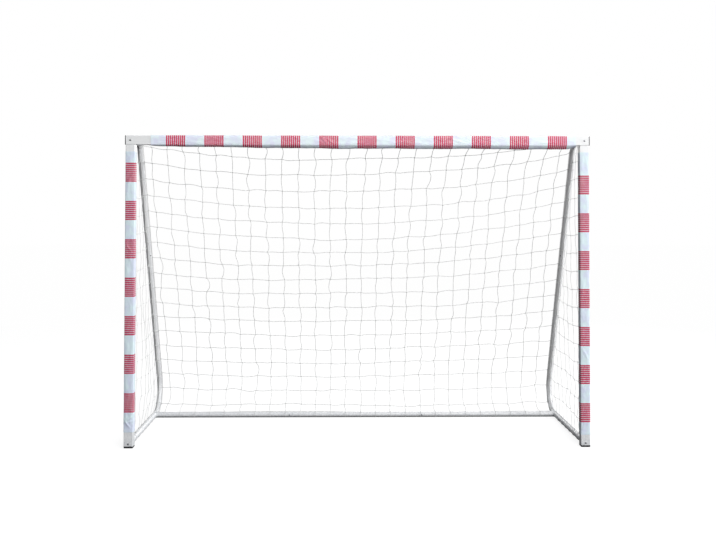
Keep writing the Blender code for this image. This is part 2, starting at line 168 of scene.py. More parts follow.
class NodeGraph:
    """Node tree with short calls for the nodes that finishes and the sky use."""

    def __init__(self, tree: bpy.types.NodeTree) -> None:
        """Hold a tree.

        Args:
            tree: Tree that gets the nodes.
        """
        self.tree = tree
        self.nodes = tree.nodes

    def fill(self, socket: bpy.types.NodeSocket, value: object) -> None:
        """Link an output to a socket, or set the socket's value."""
        if isinstance(value, bpy.types.NodeSocket):
            self.tree.links.new(value, socket)
        else:
            socket.default_value = value

    def add(
        self, kind: str, inputs: dict[str | int, object] | None = None, **settings: object
    ) -> bpy.types.Node:
        """Add a node.

        Args:
            kind: Type of the node.
            inputs: Values or outputs for its sockets, by name or number.
            settings: Properties of the node.

        Returns:
            The new node.
        """
        node = self.nodes.new(kind)
        for name, value in settings.items():
            setattr(node, name, value)
        for key, value in (inputs or {}).items():
            self.fill(node.inputs[key], value)
        return node

    def math(self, operation: str, *values: object) -> bpy.types.NodeSocket:
        """Result of a Math node."""
        return self.add("ShaderNodeMath", dict(enumerate(values)), operation=operation).outputs[0]

    def remap(
        self, value: bpy.types.NodeSocket, start: float, end: float, low: float, high: float
    ) -> bpy.types.NodeSocket:
        """Clamped straight-line change of a number from one range to another."""
        inputs = {0: value, 1: start, 2: end, 3: low, 4: high}
        return self.add("ShaderNodeMapRange", inputs).outputs[0]


class ShaderGraph(NodeGraph):
    """Node tree of one finish, which ends in a Principled shader."""

    def __init__(self, name: str) -> None:
        """Start a material that holds a Principled shader.

        Args:
            name: Name of the material.
        """
        self.material = bpy.data.materials.new(name)
        self.material.use_nodes = True
        super().__init__(self.material.node_tree)
        self.shader = self.nodes["Principled BSDF"]

    def set(self, values: dict[str, float | tuple[float, ...]]) -> None:
        """Set sockets of the shader by name."""
        for name, value in values.items():
            self.shader.inputs[name].default_value = value

    def drive(self, socket: str, source: bpy.types.NodeSocket) -> None:
        """Link an output to a socket of the shader."""
        self.fill(self.shader.inputs[socket], source)

    def place(self, scale: tuple[float, float, float] = (1, 1, 1)) -> bpy.types.NodeSocket:
        """Object coordinates in metres, stretched by a scale."""
        source = self.add("ShaderNodeTexCoord").outputs["Object"]
        return self.add("ShaderNodeMapping", {"Vector": source, "Scale": scale}).outputs[0]

    def surface(self) -> tuple[bpy.types.NodeSocket, bpy.types.NodeSocket]:
        """Both numbers of the piece's own UV map."""
        source = self.add("ShaderNodeUVMap").outputs[0]
        split = self.add("ShaderNodeSeparateXYZ", {0: source})
        return split.outputs[0], split.outputs[1]

    def noise(self, where: bpy.types.NodeSocket, scale: float, detail: float = 3) -> bpy.types.NodeSocket:
        """Cloudy noise from 0 to 1."""
        inputs = {"Vector": where, "Scale": scale, "Detail": detail}
        return self.add("ShaderNodeTexNoise", inputs).outputs["Fac"]

    def mix(self, share: object, first: object, second: object) -> bpy.types.NodeSocket:
        """Mix of two colours."""
        first, second = ((*colour, 1) if isinstance(colour, tuple) else colour for colour in (first, second))
        return self.add("ShaderNodeMix", {0: share, 6: first, 7: second}, data_type="RGBA").outputs[2]

    def emboss(
        self, height: bpy.types.NodeSocket, distance: float, strength: float, under: object = None
    ) -> bpy.types.NodeSocket:
        """Surface normal of a bump.

        Args:
            height: Height from 0 to 1.
            distance: Height of the bump in metres.
            strength: Share of the bump that shows.
            under: Normal that this bump lies on, if any.

        Returns:
            The bumped normal.
        """
        inputs = {"Height": height, "Distance": distance, "Strength": strength}
        if under is not None:
            inputs["Normal"] = under
        return self.add("ShaderNodeBump", inputs).outputs[0]


@dataclass(frozen=True)
class PowderCoat:
    """White powder coat with a fine orange peel and faint rub marks, with painted bluish shade that darkens
    it towards the ground and a painted near-black contact shade on its lowest 15 mm.
    """

    colour: Colour = (0.80, 0.805, 0.81)
    shade: Colour = (0.745, 0.755, 0.765)
    # Bluish colour of the painted shade that darkens the steel towards the ground.
    ground_shade: Colour = (0.40, 0.42, 0.46)
    rub: Colour = (0.52, 0.53, 0.54)
    peel: float = 0.0011
    # Height up to which the painted ground shade reaches, and its share at the floor.
    ground_shade_height: float = 0.22
    ground_shade_share: float = 0.66
    speckle_low: float = 0.35
    # Painted contact shade: near-black colour laid on the lowest 15 mm of the steel, where the tubes meet the
    # floor, with the heights, share and unevenness below.
    contact_shade: Colour = (0.045, 0.045, 0.048)
    contact_shade_start: float = 0.007
    contact_shade_top: float = 0.015
    contact_shade_share: float = 0.9
    contact_shade_uneven: float = 0.80

    def material(self) -> bpy.types.Material:
        """Build the material."""
        graph = ShaderGraph("white_powder_coat")
        where = graph.place()
        clouds = graph.noise(where, 5, 4)
        base = graph.mix(graph.remap(clouds, 0.35, 0.7, 0, 1), self.colour, self.shade)
        marks = graph.remap(graph.noise(graph.place((260, 60, 60)), 1, 2), 0.70, 0.78, 0, 0.55)
        marks = graph.math("MULTIPLY", marks, graph.remap(clouds, 0.5, 0.6, 0, 1))
        base = graph.mix(marks, base, self.rub)
        # Painted shade: a speckled bluish darkening, strongest at the floor, that fades out at the height
        # above; it also roughens the coat a little.
        height = graph.add("ShaderNodeSeparateXYZ", {0: where}).outputs[2]
        speckle = graph.remap(graph.noise(where, 90, 5), 0.42, 0.68, self.speckle_low, 1)
        low = graph.math("MULTIPLY", graph.remap(height, 0, self.ground_shade_height, self.ground_shade_share, 0), speckle)
        # Painted contact shade: full below 7 mm, gone by 15 mm, made a little uneven by the speckle.
        uneven = graph.remap(speckle, self.speckle_low, 1, self.contact_shade_uneven, 1)
        contact_shade = graph.remap(height, self.contact_shade_start, self.contact_shade_top, self.contact_shade_share, 0)
        contact_shaded = graph.math("MULTIPLY", contact_shade, uneven)
        graph.drive("Base Color", graph.mix(contact_shaded, graph.mix(low, base, self.ground_shade), self.contact_shade))
        rough = graph.math("ADD", graph.remap(clouds, 0.3, 0.7, 0.29, 0.38), graph.math("MULTIPLY", low, 0.5))
        graph.drive("Roughness", rough)
        graph.set({"Coat Weight": 0.25, "Coat Roughness": 0.22})
        waves = graph.emboss(graph.noise(where, 30, 2), 0.0006, 0.07)
        graph.drive("Normal", graph.emboss(graph.noise(where, 1 / self.peel, 1), 0.00006, 0.5, waves))
        return graph.material


@dataclass(frozen=True)
class MouldedPlastic:
    """Black moulded plastic with a fine spark texture and grey scuffs."""

    colour: Colour = (0.016, 0.016, 0.018)
    scuff: Colour = (0.13, 0.125, 0.12)

    def material(self) -> bpy.types.Material:
        """Build the material."""
        graph = ShaderGraph("black_moulded_plastic")
        where = graph.place()
        scuffs = graph.remap(graph.noise(where, 170, 6), 0.55, 0.75, 0, 0.6)
        graph.drive("Base Color", graph.mix(scuffs, self.colour, self.scuff))
        graph.drive("Roughness", graph.remap(graph.noise(where, 60, 3), 0.3, 0.7, 0.42, 0.62))
        graph.drive("Normal", graph.emboss(graph.noise(where, 1800, 2), 0.00004, 0.7))
        return graph.material


@dataclass(frozen=True)
class ZincPlate:
    """Zinc plated fastener steel with a faint spangle."""

    bright: Colour = (0.36, 0.37, 0.39)
    dull: Colour = (0.20, 0.205, 0.215)

    def material(self) -> bpy.types.Material:
        """Build the material."""
        graph = ShaderGraph("zinc_plate")
        where = graph.place()
        spangle = graph.add("ShaderNodeTexVoronoi", {"Vector": where, "Scale": 900.0}).outputs["Distance"]
        mottle = graph.math("MULTIPLY", spangle, graph.noise(where, 400, 4))
        graph.drive("Base Color", graph.mix(graph.remap(mottle, 0.05, 0.4, 0, 1), self.bright, self.dull))
        graph.drive("Roughness", graph.remap(mottle, 0.05, 0.4, 0.28, 0.46))
        graph.set({"Metallic": 1.0})
        graph.drive("Normal", graph.emboss(graph.noise(where, 2500, 2), 0.00002, 0.5))
        return graph.material


@dataclass(frozen=True)
class SleeveCloth:
    """Thin coated woven cloth, printed with blocks of fine red lines that run round the sleeve.

    The UV map is in metres: along the sleeve from the first block, and round it.
    """

    name: str = "crossbar_sleeve_cloth"
    white: Colour = (0.75, 0.86, 0.89)
    # Darker lavender copy of the white, laid in cloudy blotches as painted wrinkle shade.
    white_painted_shade: Colour = (0.71, 0.74, 0.88)
    red: Colour = (0.56, 0.040, 0.100)
    red_worn: Colour = (0.62, 0.09, 0.16)
    block: float = 0.124
    pitch: float = BLOCK_PITCH
    lines: int = 10
    line_share: float = 0.85
    line_edge: float = 0.05
    thread: float = 0.0006

    def red_lines(
        self, graph: ShaderGraph, along: bpy.types.NodeSocket, blocks: bpy.types.NodeSocket
    ) -> bpy.types.NodeSocket:
        """Mask of the printed lines.

        Args:
            graph: Node tree of the cloth.
            along: Distance along the sleeve from its first block.
            blocks: Length of the sleeve that is printed.

        Returns:
            1 on a red line and 0 on white cloth.
        """
        step = self.block / (self.lines - 1 + self.line_share)
        start = graph.math("FLOORED_MODULO", along, self.pitch)
        inside = graph.math("LESS_THAN", start, self.block)
        begun = graph.math("GREATER_THAN", along, 0.0)
        printed = graph.math("MULTIPLY", begun, graph.math("LESS_THAN", along, blocks))
        phase = graph.math("FRACT", graph.math("DIVIDE", start, step))
        rise = graph.remap(phase, 0, self.line_edge, 0, 1)
        fall = graph.remap(phase, self.line_share - self.line_edge, self.line_share, 1, 0)
        line = graph.math("MULTIPLY", rise, fall)
        return graph.math("MULTIPLY", graph.math("MULTIPLY", inside, printed), line)

    def material(self) -> bpy.types.Material:
        """Build the material."""
        graph = ShaderGraph(self.name)
        along, around = graph.surface()
        blocks = graph.add("ShaderNodeAttribute", attribute_name="printed_length").outputs["Fac"]
        where = graph.place()
        clouds = graph.noise(where, 17, 3)
        # Painted wrinkle shade: the white turns to its darker lavender copy in cloudy blotches.
        white = graph.mix(graph.remap(clouds, 0.40, 0.62, 0, 1), self.white, self.white_painted_shade)
        red = graph.mix(graph.remap(graph.noise(where, 35, 5), 0.4, 0.75, 0, 1), self.red, self.red_worn)
        lines = self.red_lines(graph, along, blocks)
        graph.drive("Base Color", graph.mix(lines, white, red))
        graph.drive("Roughness", graph.remap(clouds, 0.3, 0.7, 0.50, 0.62))
        graph.set({"Sheen Weight": 0.18, "Sheen Roughness": 0.4})
        weave = 2 * math.pi / self.thread
        warp = graph.math("SINE", graph.math("MULTIPLY", along, weave))
        weft = graph.math("SINE", graph.math("MULTIPLY", around, weave))
        cross = graph.remap(graph.math("MULTIPLY", warp, weft), -1, 1, 0, 1)
        soft = graph.emboss(graph.noise(where, 70, 4), 0.0007, 0.35)
        graph.drive("Normal", graph.emboss(cross, 0.00008, 0.5, soft))
        return graph.material


@dataclass(frozen=True)
class NetTwine:
    """White twisted twine. The UV map counts turns round the cord and turns of the lay."""

    name: str = "white_net_twine"
    bright: Colour = (0.64, 0.645, 0.64)
    dull: Colour = (0.52, 0.525, 0.52)
    strands: int = 3

    def material(self) -> bpy.types.Material:
        """Build the material."""
        graph = ShaderGraph(self.name)
        turn, lay = graph.surface()
        twist = graph.math("ADD", graph.math("MULTIPLY", turn, float(self.strands)), lay)
        strand = graph.math("ABSOLUTE", graph.math("SINE", graph.math("MULTIPLY", twist, math.pi)))
        where = graph.place()
        dirt = graph.remap(graph.noise(where, 14, 4), 0.4, 0.7, 0, 0.8)
        # Painted shade: the grooves between the strands turn to the dull colour; the noise above marks real
        # dirt in the same colour.
        groove_shade = graph.remap(strand, 0, 0.55, 0.7, 0)
        graph.drive("Base Color", graph.mix(graph.math("MAXIMUM", dirt, groove_shade), self.bright, self.dull))
        graph.drive("Roughness", graph.remap(strand, 0, 1, 0.85, 0.6))
        graph.set({"Sheen Weight": 0.1})
        graph.drive("Normal", graph.emboss(strand, 0.0006, 0.8))
        return graph.material


# Painted shade: a darker copy of the crossbar's cloth, whose white and red stand in for the weaker light on
# the posts.
SHADED_POST_CLOTH = SleeveCloth(
    name="post_sleeve_cloth",
    white=(0.65, 0.775, 0.82),
    white_painted_shade=(0.62, 0.67, 0.81),
    red=(0.45, 0.028, 0.08),
    red_worn=(0.50, 0.06, 0.12),
)
PALE_TWINE = NetTwine(name="pale_net_twine", bright=(0.84, 0.845, 0.84), dull=(0.74, 0.745, 0.74))


# Work on meshes


def select_only(piece: bpy.types.Object) -> None:
    """Select one object, and no other, and make it active."""
    bpy.ops.object.select_all(action="DESELECT")
    piece.select_set(True)
    bpy.context.view_layer.objects.active = piece


@contextmanager
def edited(piece: bpy.types.Object, mode: str = "EDGE") -> Iterator[None]:
    """Hold one piece open in edit mode, with nothing selected at first.

    Args:
        piece: Mesh object to edit.
        mode: Kind of element that gets selected.
    """
    select_only(piece)
    bpy.ops.object.mode_set(mode="EDIT")
    bpy.ops.mesh.select_mode(type=mode)
    bpy.ops.mesh.select_all(action="DESELECT")
    yield
    bpy.ops.object.mode_set(mode="OBJECT")


def pick(piece: bpy.types.Object, part: Part, wanted: Callable[[object], bool]) -> None:
    """Select the edges or faces of an open piece that pass a test, and no others.

    Args:
        piece: Mesh object that is open in edit mode.
        part: Kind of part to select.
        wanted: Test of one part.
    """
    mesh = bmesh.from_edit_mesh(piece.data)
    bpy.ops.mesh.select_all(action="DESELECT")
    for found in filter(wanted, getattr(mesh, part.value)):
        found.select_set(True)
    bmesh.update_edit_mesh(piece.data)


def draw_out(run: Vector) -> None:
    """Extrude what is selected along a vector."""
    bpy.ops.mesh.extrude_region_move(TRANSFORM_OT_translate={"value": run})


def apply_modifier(piece: bpy.types.Object, kind: str, **settings: object) -> None:
    """Put a modifier on a piece and apply it.

    Args:
        piece: Object that gets the modifier.
        kind: Type of the modifier.
        settings: Properties of the modifier.
    """
    modifier = piece.modifiers.new(kind.lower(), kind)
    for name, value in settings.items():
        setattr(modifier, name, value)
    select_only(piece)
    bpy.ops.object.modifier_apply(modifier=modifier.name)


def cut_away(piece: bpy.types.Object, cutter: bpy.types.Object) -> None:
    """Cut the form of another object out of a piece, and delete that object."""
    apply_modifier(piece, "BOOLEAN", operation="DIFFERENCE", solver="EXACT", object=cutter)
    bpy.data.objects.remove(cutter)


def settle(piece: bpy.types.Object, smooth: float = 35) -> None:
    """Move a piece's place into its mesh and shade its round faces smooth.

    Args:
        piece: Finished mesh object.
        smooth: Angle in degrees up to which edges are smooth.
    """
    select_only(piece)
    bpy.ops.object.transform_apply(location=True, rotation=True, scale=True)
    bpy.ops.object.shade_smooth_by_angle(angle=math.radians(smooth))


def turn_to(direction: Vector) -> tuple[float, float, float]:
    """Rotation of a primitive whose +Z is to point in a direction."""
    return tuple(direction.to_track_quat("Z", "Y").to_euler())


def dress(
    piece: bpy.types.Object, name: str, material: bpy.types.Material, nodes: Sequence[str]
) -> bpy.types.Object:
    """Name a finished piece, give it its finish and fix it to the goal.

    Args:
        piece: Finished mesh object at the origin.
        name: Name of the piece.
        material: Its finish.
        nodes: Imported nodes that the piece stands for.

    Returns:
        The piece.
    """
    piece.name = name
    piece.data.name = name
    piece.data.materials.clear()
    piece.data.materials.append(material)
    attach(piece, BODY)
    if nodes:
        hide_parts(*nodes)
    LOG.info("%s: %d faces", name, len(piece.data.polygons))
    return piece


@dataclass
class BentTube:
    """Round steel tube, drawn out from a ring, bent round dies and swaged at its ends."""

    start: Vector
    heading: Vector
    radius: float = SIZES.tube / 2
    sides: int = 40
    piece: bpy.types.Object = field(init=False)
    end: Vector = field(init=False)

    def __post_init__(self) -> None:
        """Add the first ring and select it."""
        bpy.ops.mesh.primitive_circle_add(
            vertices=self.sides, radius=self.radius, location=self.start, rotation=turn_to(self.heading)
        )
        self.piece = bpy.context.active_object
        self.end = self.start.copy()
        select_only(self.piece)
        bpy.ops.object.mode_set(mode="EDIT")
        bpy.ops.mesh.select_mode(type="EDGE")
        bpy.ops.mesh.select_all(action="SELECT")

    def straight(self, end: Vector) -> None:
        """Draw the tube out to a point."""
        draw_out(end - self.end)
        self.end = end.copy()

    def bend(self, centre: Vector, angle: float, steps: int) -> None:
        """Bend the tube about an axis along X.

        Args:
            centre: Centre of the bend, in the plane of the tube.
            angle: Angle about +X in radians.
            steps: Rings along the bend.
        """
        bpy.ops.mesh.spin(steps=steps, angle=-angle, center=centre, axis=(1, 0, 0))
        self.end = centre + Matrix.Rotation(angle, 3, "X") @ (self.end - centre)

    def swage(self, end: Vector, radius: float) -> None:
        """Draw the tube out to a point and bring its last ring to another radius."""
        self.straight(end)
        scale = radius / self.radius
        bpy.ops.transform.resize(value=(scale, scale, scale), center_override=self.end)
        self.radius = radius

    def finish(self) -> bpy.types.Object:
        """Give the tube its wall.

        Returns:
            The finished tube, at the origin.
        """
        bpy.ops.mesh.select_all(action="SELECT")
        bpy.ops.mesh.remove_doubles(threshold=0.00001)
        bpy.ops.mesh.normals_make_consistent(inside=False)
        bpy.ops.object.mode_set(mode="OBJECT")
        apply_modifier(self.piece, "SOLIDIFY", thickness=SIZES.wall, offset=-1, use_even_offset=True)
        settle(self.piece)
        return self.piece


# Frame


@dataclass
class SideFrame:
    """Bent side frame of one side: two stays, a ground tube and the stub of the rear rail."""

    side: Side
    coat: bpy.types.Material
    top_steps: int = 14
    rear_steps: int = 26
    bead: float = 0.0021
    ground_clear: float = 0.0003
    ripples: int = 34

    @property
    def shift(self) -> Vector:
        """Offset from the middle of the goal to the plane of this side frame."""
        return Vector((self.side.sign * SIZES.post_x, 0, 0))

    def build(self) -> None:
        """Build every tube of the side frame and the weld of its stub."""
        self.build_upper_stay()
        self.build_lower_stay()
        self.build_ground_tube()
        self.build_stub()
        self.build_weld()

    def dress_tube(self, tube: bpy.types.Object, node: str) -> None:
        """Finish a tube that stands for a node of this side."""
        name = f"{node}_{self.side.label}"
        dress(tube, f"{name}_tube", self.coat, [name])

    def build_upper_stay(self) -> None:
        """Build the upper stay, from the back of the crossbar over the top bend."""
        start = self.shift + SIZES.at(0, SIZES.square / 2 + SIZES.gap, SIZES.bar_z)
        centre = self.shift + SIZES.top_centre
        tube = BentTube(start, Vector((0, 1, 0)))
        tube.straight(Vector((start.x, centre.y, start.z)))
        tube.bend(centre, SIZES.lean - math.pi / 2, self.top_steps)
        tube.straight(self.shift + SIZES.stay_point(SIZES.stay_seam_z))
        self.dress_tube(tube.finish(), "stay_upper")

    def build_lower_stay(self) -> None:
        """Build the lower stay, with its swaged end, the rear bend and the run on the ground."""
        seam = self.shift + SIZES.stay_point(SIZES.stay_seam_z)
        up = SIZES.up_stay
        tube = BentTube(seam + up * SIZES.neck_length, -up, SIZES.neck / 2)
        tube.straight(seam - up * SIZES.gap)
        tube.swage(seam - up * (SIZES.gap + SIZES.shoulder), SIZES.tube / 2)
        tube.straight(self.shift + SIZES.stay_foot)
        centre = self.shift + SIZES.at(0, SIZES.rear_back, SIZES.rear_z)
        tube.bend(centre, -(SIZES.lean + math.pi / 2), self.rear_steps)
        tube.straight(self.shift + SIZES.ground_point(SIZES.ground_seam))
        self.dress_tube(tube.finish(), "stay_lower")

    def build_ground_tube(self) -> None:
        """Build the ground tube, from the back of the post to its swaged rear end."""
        start = self.shift + SIZES.ground_point(SIZES.square / 2 + 2 * SIZES.gap)
        joint = self.shift + SIZES.ground_point(SIZES.ground_seam)
        along = (joint - start).normalized()
        tube = BentTube(start, Vector((0, 1, 0)))
        tube.straight(joint - along * (SIZES.gap + SIZES.shoulder))
        tube.swage(joint - along * SIZES.gap, SIZES.neck / 2)
        tube.straight(joint + along * SIZES.neck_length)
        self.dress_tube(tube.finish(), "ground_tube")

    def stub_ends(self) -> tuple[Vector, Vector]:
        """Open end of the stub, and the point of the ground tube's axis that it aims at."""
        axis = self.shift + SIZES.ground_point(SIZES.rail_back)
        return axis - Vector((self.side.sign * SIZES.stub_reach, 0, 0)), axis

    def saddle(self, height: float, clear: float) -> float:
        """Distance from the ground tube's axis to its wall at a height above the axis."""
        reach = SIZES.tube / 2 + clear
        return math.sqrt(max(reach**2 - height**2, 0))

    def build_stub(self) -> None:
        """Build the stub, coped to the round of the ground tube."""
        outer, axis = self.stub_ends()
        tube = BentTube(outer, Vector((self.side.sign, 0, 0)), sides=48)
        tube.straight(axis)
        ring = bmesh.from_edit_mesh(tube.piece.data)
        place = tube.piece.matrix_world
        for vert in ring.verts:
            at = place @ vert.co
            if abs(at.x - axis.x) < SIZES.tube / 4:
                at.x = axis.x - self.side.sign * self.saddle(at.z - axis.z, SIZES.gap)
                vert.co = place.inverted() @ at
        bmesh.update_edit_mesh(tube.piece.data)
        self.dress_tube(tube.finish(), "rail_stub")

    def build_weld(self) -> None:
        """Build the rippled weld bead round the foot of the stub."""
        _, axis = self.stub_ends()
        bpy.ops.mesh.primitive_torus_add(
            major_segments=144,
            minor_segments=10,
            major_radius=SIZES.tube / 2,
            minor_radius=self.bead,
            location=axis,
            rotation=(0, math.pi / 2, 0),
        )
        bead = bpy.context.active_object
        bpy.ops.object.transform_apply(location=True, rotation=True, scale=True)
        with edited(bead, "VERT"):
            mesh = bmesh.from_edit_mesh(bead.data)
            for vert in mesh.verts:
                spoke = Vector((0, vert.co.y - axis.y, vert.co.z - axis.z))
                turn = math.atan2(spoke.z, spoke.y)
                ring = spoke.normalized() * SIZES.tube / 2
                swell = 1 + 0.18 * abs(math.sin(turn * self.ripples / 2))
                off = (spoke - ring) * swell
                foot = axis.x - self.side.sign * self.saddle(ring.z, self.bead * 0.45)
                vert.co = Vector((foot + (vert.co.x - axis.x) * swell, axis.y, axis.z)) + ring + off
                vert.co.z = max(vert.co.z, self.ground_clear)
            bmesh.update_edit_mesh(bead.data)
            bpy.ops.mesh.select_all(action="SELECT")
            bpy.ops.mesh.normals_make_consistent(inside=False)
        settle(bead, 60)
        dress(bead, f"rail_stub_{self.side.label}_weld", self.coat, [])


@dataclass
class RearRail:
    """Rear rail of three round lengths with swaged joints."""

    coat: bpy.types.Material
    stub_insert: float = 0.7

    def build(self) -> None:
        """Build the three lengths."""
        axis = SIZES.ground_point(SIZES.rail_back)
        right = Vector((1, 0, 0))
        seam = SIZES.rail_seam_x
        clear = SIZES.gap + SIZES.shoulder
        tube = BentTube(axis - right * (seam + SIZES.neck_length), right, SIZES.neck / 2)
        tube.straight(axis - right * (seam - SIZES.gap))
        tube.swage(axis - right * (seam - clear), SIZES.tube / 2)
        tube.straight(axis + right * (seam - clear))
        tube.swage(axis + right * (seam - SIZES.gap), SIZES.neck / 2)
        tube.straight(axis + right * (seam + SIZES.neck_length))
        dress(tube.finish(), "rear_rail_middle_tube", self.coat, ["rear_rail_middle"])
        for side in Side:
            out = right * side.sign
            end = axis + out * (SIZES.post_x - SIZES.stub_reach)
            tube = BentTube(axis + out * seam, out)
            tube.straight(end - out * clear)
            tube.swage(end - out * SIZES.gap, SIZES.neck / 2)
            tube.straight(end + out * (SIZES.stub_reach - SIZES.tube / 2) * self.stub_insert)
            name = f"rear_rail_{side.label}"
            dress(tube.finish(), f"{name}_tube", self.coat, [name])


@dataclass
class CornerBolt:
    """Domed bolt with a hexagon socket, on the front of a corner of the frame."""

    name: str
    seat: Vector
    plate: bpy.types.Material
    head_radius: float = 0.006
    head_height: float = 0.004
    shank_radius: float = 0.004
    length: float = 0.080
    socket: float = 0.0029
    socket_depth: float = 0.0024
    dome: float = 0.82

    def is_seat(self, face: bmesh.types.BMFace) -> bool:
        """Whether a face is the flat one that lies on the tube."""
        return face.normal.y > 0.9 and abs(face.calc_center_median().y - self.seat.y) < 1e-5

    def build(self) -> None:
        """Turn the head, cut its socket and draw out the shank."""
        front = Vector((0, -1, 0))
        middle = self.seat + front * self.head_height / 2
        bpy.ops.mesh.primitive_cylinder_add(
            vertices=36,
            radius=self.head_radius,
            depth=self.head_height,
            location=middle,
            rotation=turn_to(front),
        )
        bolt = bpy.context.active_object
        bpy.ops.object.transform_apply(location=True, rotation=True, scale=True)
        top = self.seat.y - self.head_height
        with edited(bolt):
            pick(bolt, Part.EDGES, lambda edge: all(abs(vert.co.y - top) < 1e-6 for vert in edge.verts))
            dome = self.head_height * self.dome
            bpy.ops.mesh.bevel(offset=dome, segments=8, profile=0.5, clamp_overlap=True)
            pick(bolt, Part.FACES, self.is_seat)
            bpy.ops.mesh.inset(thickness=self.head_radius - self.shank_radius)
            draw_out(Vector((0, self.length - self.shank_radius / 2, 0)))
            draw_out(Vector((0, self.shank_radius / 2, 0)))
            end = Vector((self.seat.x, self.seat.y + self.length, self.seat.z))
            bpy.ops.transform.resize(value=(0.5, 0.5, 0.5), center_override=end)
        self.cut_socket(bolt, top)
        settle(bolt, 30)
        dress(bolt, f"{self.name}_socket_head", self.plate, [self.name])

    def cut_socket(self, bolt: bpy.types.Object, top: float) -> None:
        """Cut the hexagon socket into the head."""
        bpy.ops.mesh.primitive_cylinder_add(
            vertices=6,
            radius=self.socket,
            depth=self.socket_depth * 2,
            location=(self.seat.x, top, self.seat.z),
            rotation=(math.pi / 2, 0, 0),
        )
        cut_away(bolt, bpy.context.active_object)


@dataclass
class PanScrew:
    """Pan head screw with a cross recess, through a joint of the round tubes."""

    name: str
    place: Vector
    outward: Vector
    plate: bpy.types.Material
    head_radius: float = 0.0045
    head_height: float = 0.0026
    shank_radius: float = 0.002
    length: float = 0.009
    dome: float = 0.7
    point: float = 0.2

    def build(self) -> None:
        """Turn the head, cut its recess and draw out the shank."""
        bpy.ops.mesh.primitive_cylinder_add(vertices=32, radius=self.head_radius, depth=self.head_height)
        screw = bpy.context.active_object
        half = self.head_height / 2
        with edited(screw):
            pick(screw, Part.EDGES, lambda edge: all(vert.co.z > half * 0.9 for vert in edge.verts))
            bpy.ops.mesh.bevel(offset=self.head_height * self.dome, segments=6, profile=0.5)
            pick(screw, Part.FACES, lambda face: face.normal.z < -0.9)
            bpy.ops.mesh.inset(thickness=self.head_radius - self.shank_radius)
            draw_out(Vector((0, 0, -self.length * (1 - self.point))))
            draw_out(Vector((0, 0, -self.length * self.point)))
            tip = Vector((0, 0, -half - self.length))
            bpy.ops.transform.resize(value=(0.1, 0.1, 0.1), center_override=tip)
        for turn in (0, math.pi / 2):
            self.cut_slot(screw, turn)
        seat = self.place + self.outward * (SIZES.tube / 2 + SIZES.gap + half)
        screw.location = seat
        screw.rotation_euler = turn_to(self.outward)
        settle(screw, 30)
        dress(screw, f"{self.name}_cross_head", self.plate, [self.name])

    def cut_slot(self, screw: bpy.types.Object, turn: float) -> None:
        """Cut one slot of the cross recess."""
        middle = (0, 0, self.head_height * 0.5)
        bpy.ops.mesh.primitive_cube_add(size=1, location=middle, rotation=(0, 0, turn))
        cutter = bpy.context.active_object
        cutter.scale = (self.head_radius * 1.05, self.head_radius * 0.22, self.head_height * 0.9)
        cut_away(screw, cutter)


@dataclass
class Fasteners:
    """Corner bolts of the front frame and screws of the tube joints."""

    plate: bpy.types.Material
    screw_from_seam: float = 0.020

    def build(self) -> None:
        """Build the four corner bolts and the four screws."""
        heights = {"top": SIZES.bar_z, "foot": SIZES.foot_bolt_z}
        for side in Side:
            x = side.sign * SIZES.post_x
            for level, z in heights.items():
                seat = SIZES.at(x, -SIZES.square / 2 - SIZES.gap, z)
                CornerBolt(f"corner_bolt_{level}_{side.label}", seat, self.plate).build()
            self.build_screws(side)

    def build_screws(self, side: Side) -> None:
        """Build the screw of the stay and the screw of the rear rail on one side."""
        stay_front = Vector((0, -math.cos(SIZES.lean), -math.sin(SIZES.lean)))
        outward = (Vector((-side.sign, 0, 0)) + stay_front).normalized()
        place = SIZES.stay_point(SIZES.stay_seam_z) + SIZES.up_stay * self.screw_from_seam
        place.x = side.sign * SIZES.post_x
        PanScrew(f"stay_screw_{side.label}", place, outward, self.plate).build()
        place = SIZES.ground_point(SIZES.rail_back)
        place.x = side.sign * (SIZES.rail_seam_x + self.screw_from_seam)
        PanScrew(f"rail_screw_{side.label}", place, Vector((0, -1, 0)), self.plate).build()


# Sleeves


@dataclass(frozen=True)
class Crease:
    """One fold that stands up from a sleeve."""

    along: float
    around: float
    angle: float
    length: float
    width: float
    height: float

    def lift(self, along: np.ndarray, around: np.ndarray) -> np.ndarray:
        """Height of the fold at each point of the cloth.

        Args:
            along: Distances along the sleeve.
            around: Distances round the sleeve.

        Returns:
            Heights in metres.
        """
        run, side = along - self.along, around - self.around
        turn = math.radians(self.angle)
        down = run * math.cos(turn) + side * math.sin(turn)
        across = side * math.cos(turn) - run * math.sin(turn)
        return self.height * np.exp(-((down / self.length) ** 2) - (across / self.width) ** 2)


def smooth_step(value: np.ndarray, start: float, end: float) -> np.ndarray:
    """Smooth rise from 0 at the start to 1 at the end."""
    share = np.clip((value - start) / (end - start), 0, 1)
    return share * share * (3 - 2 * share)


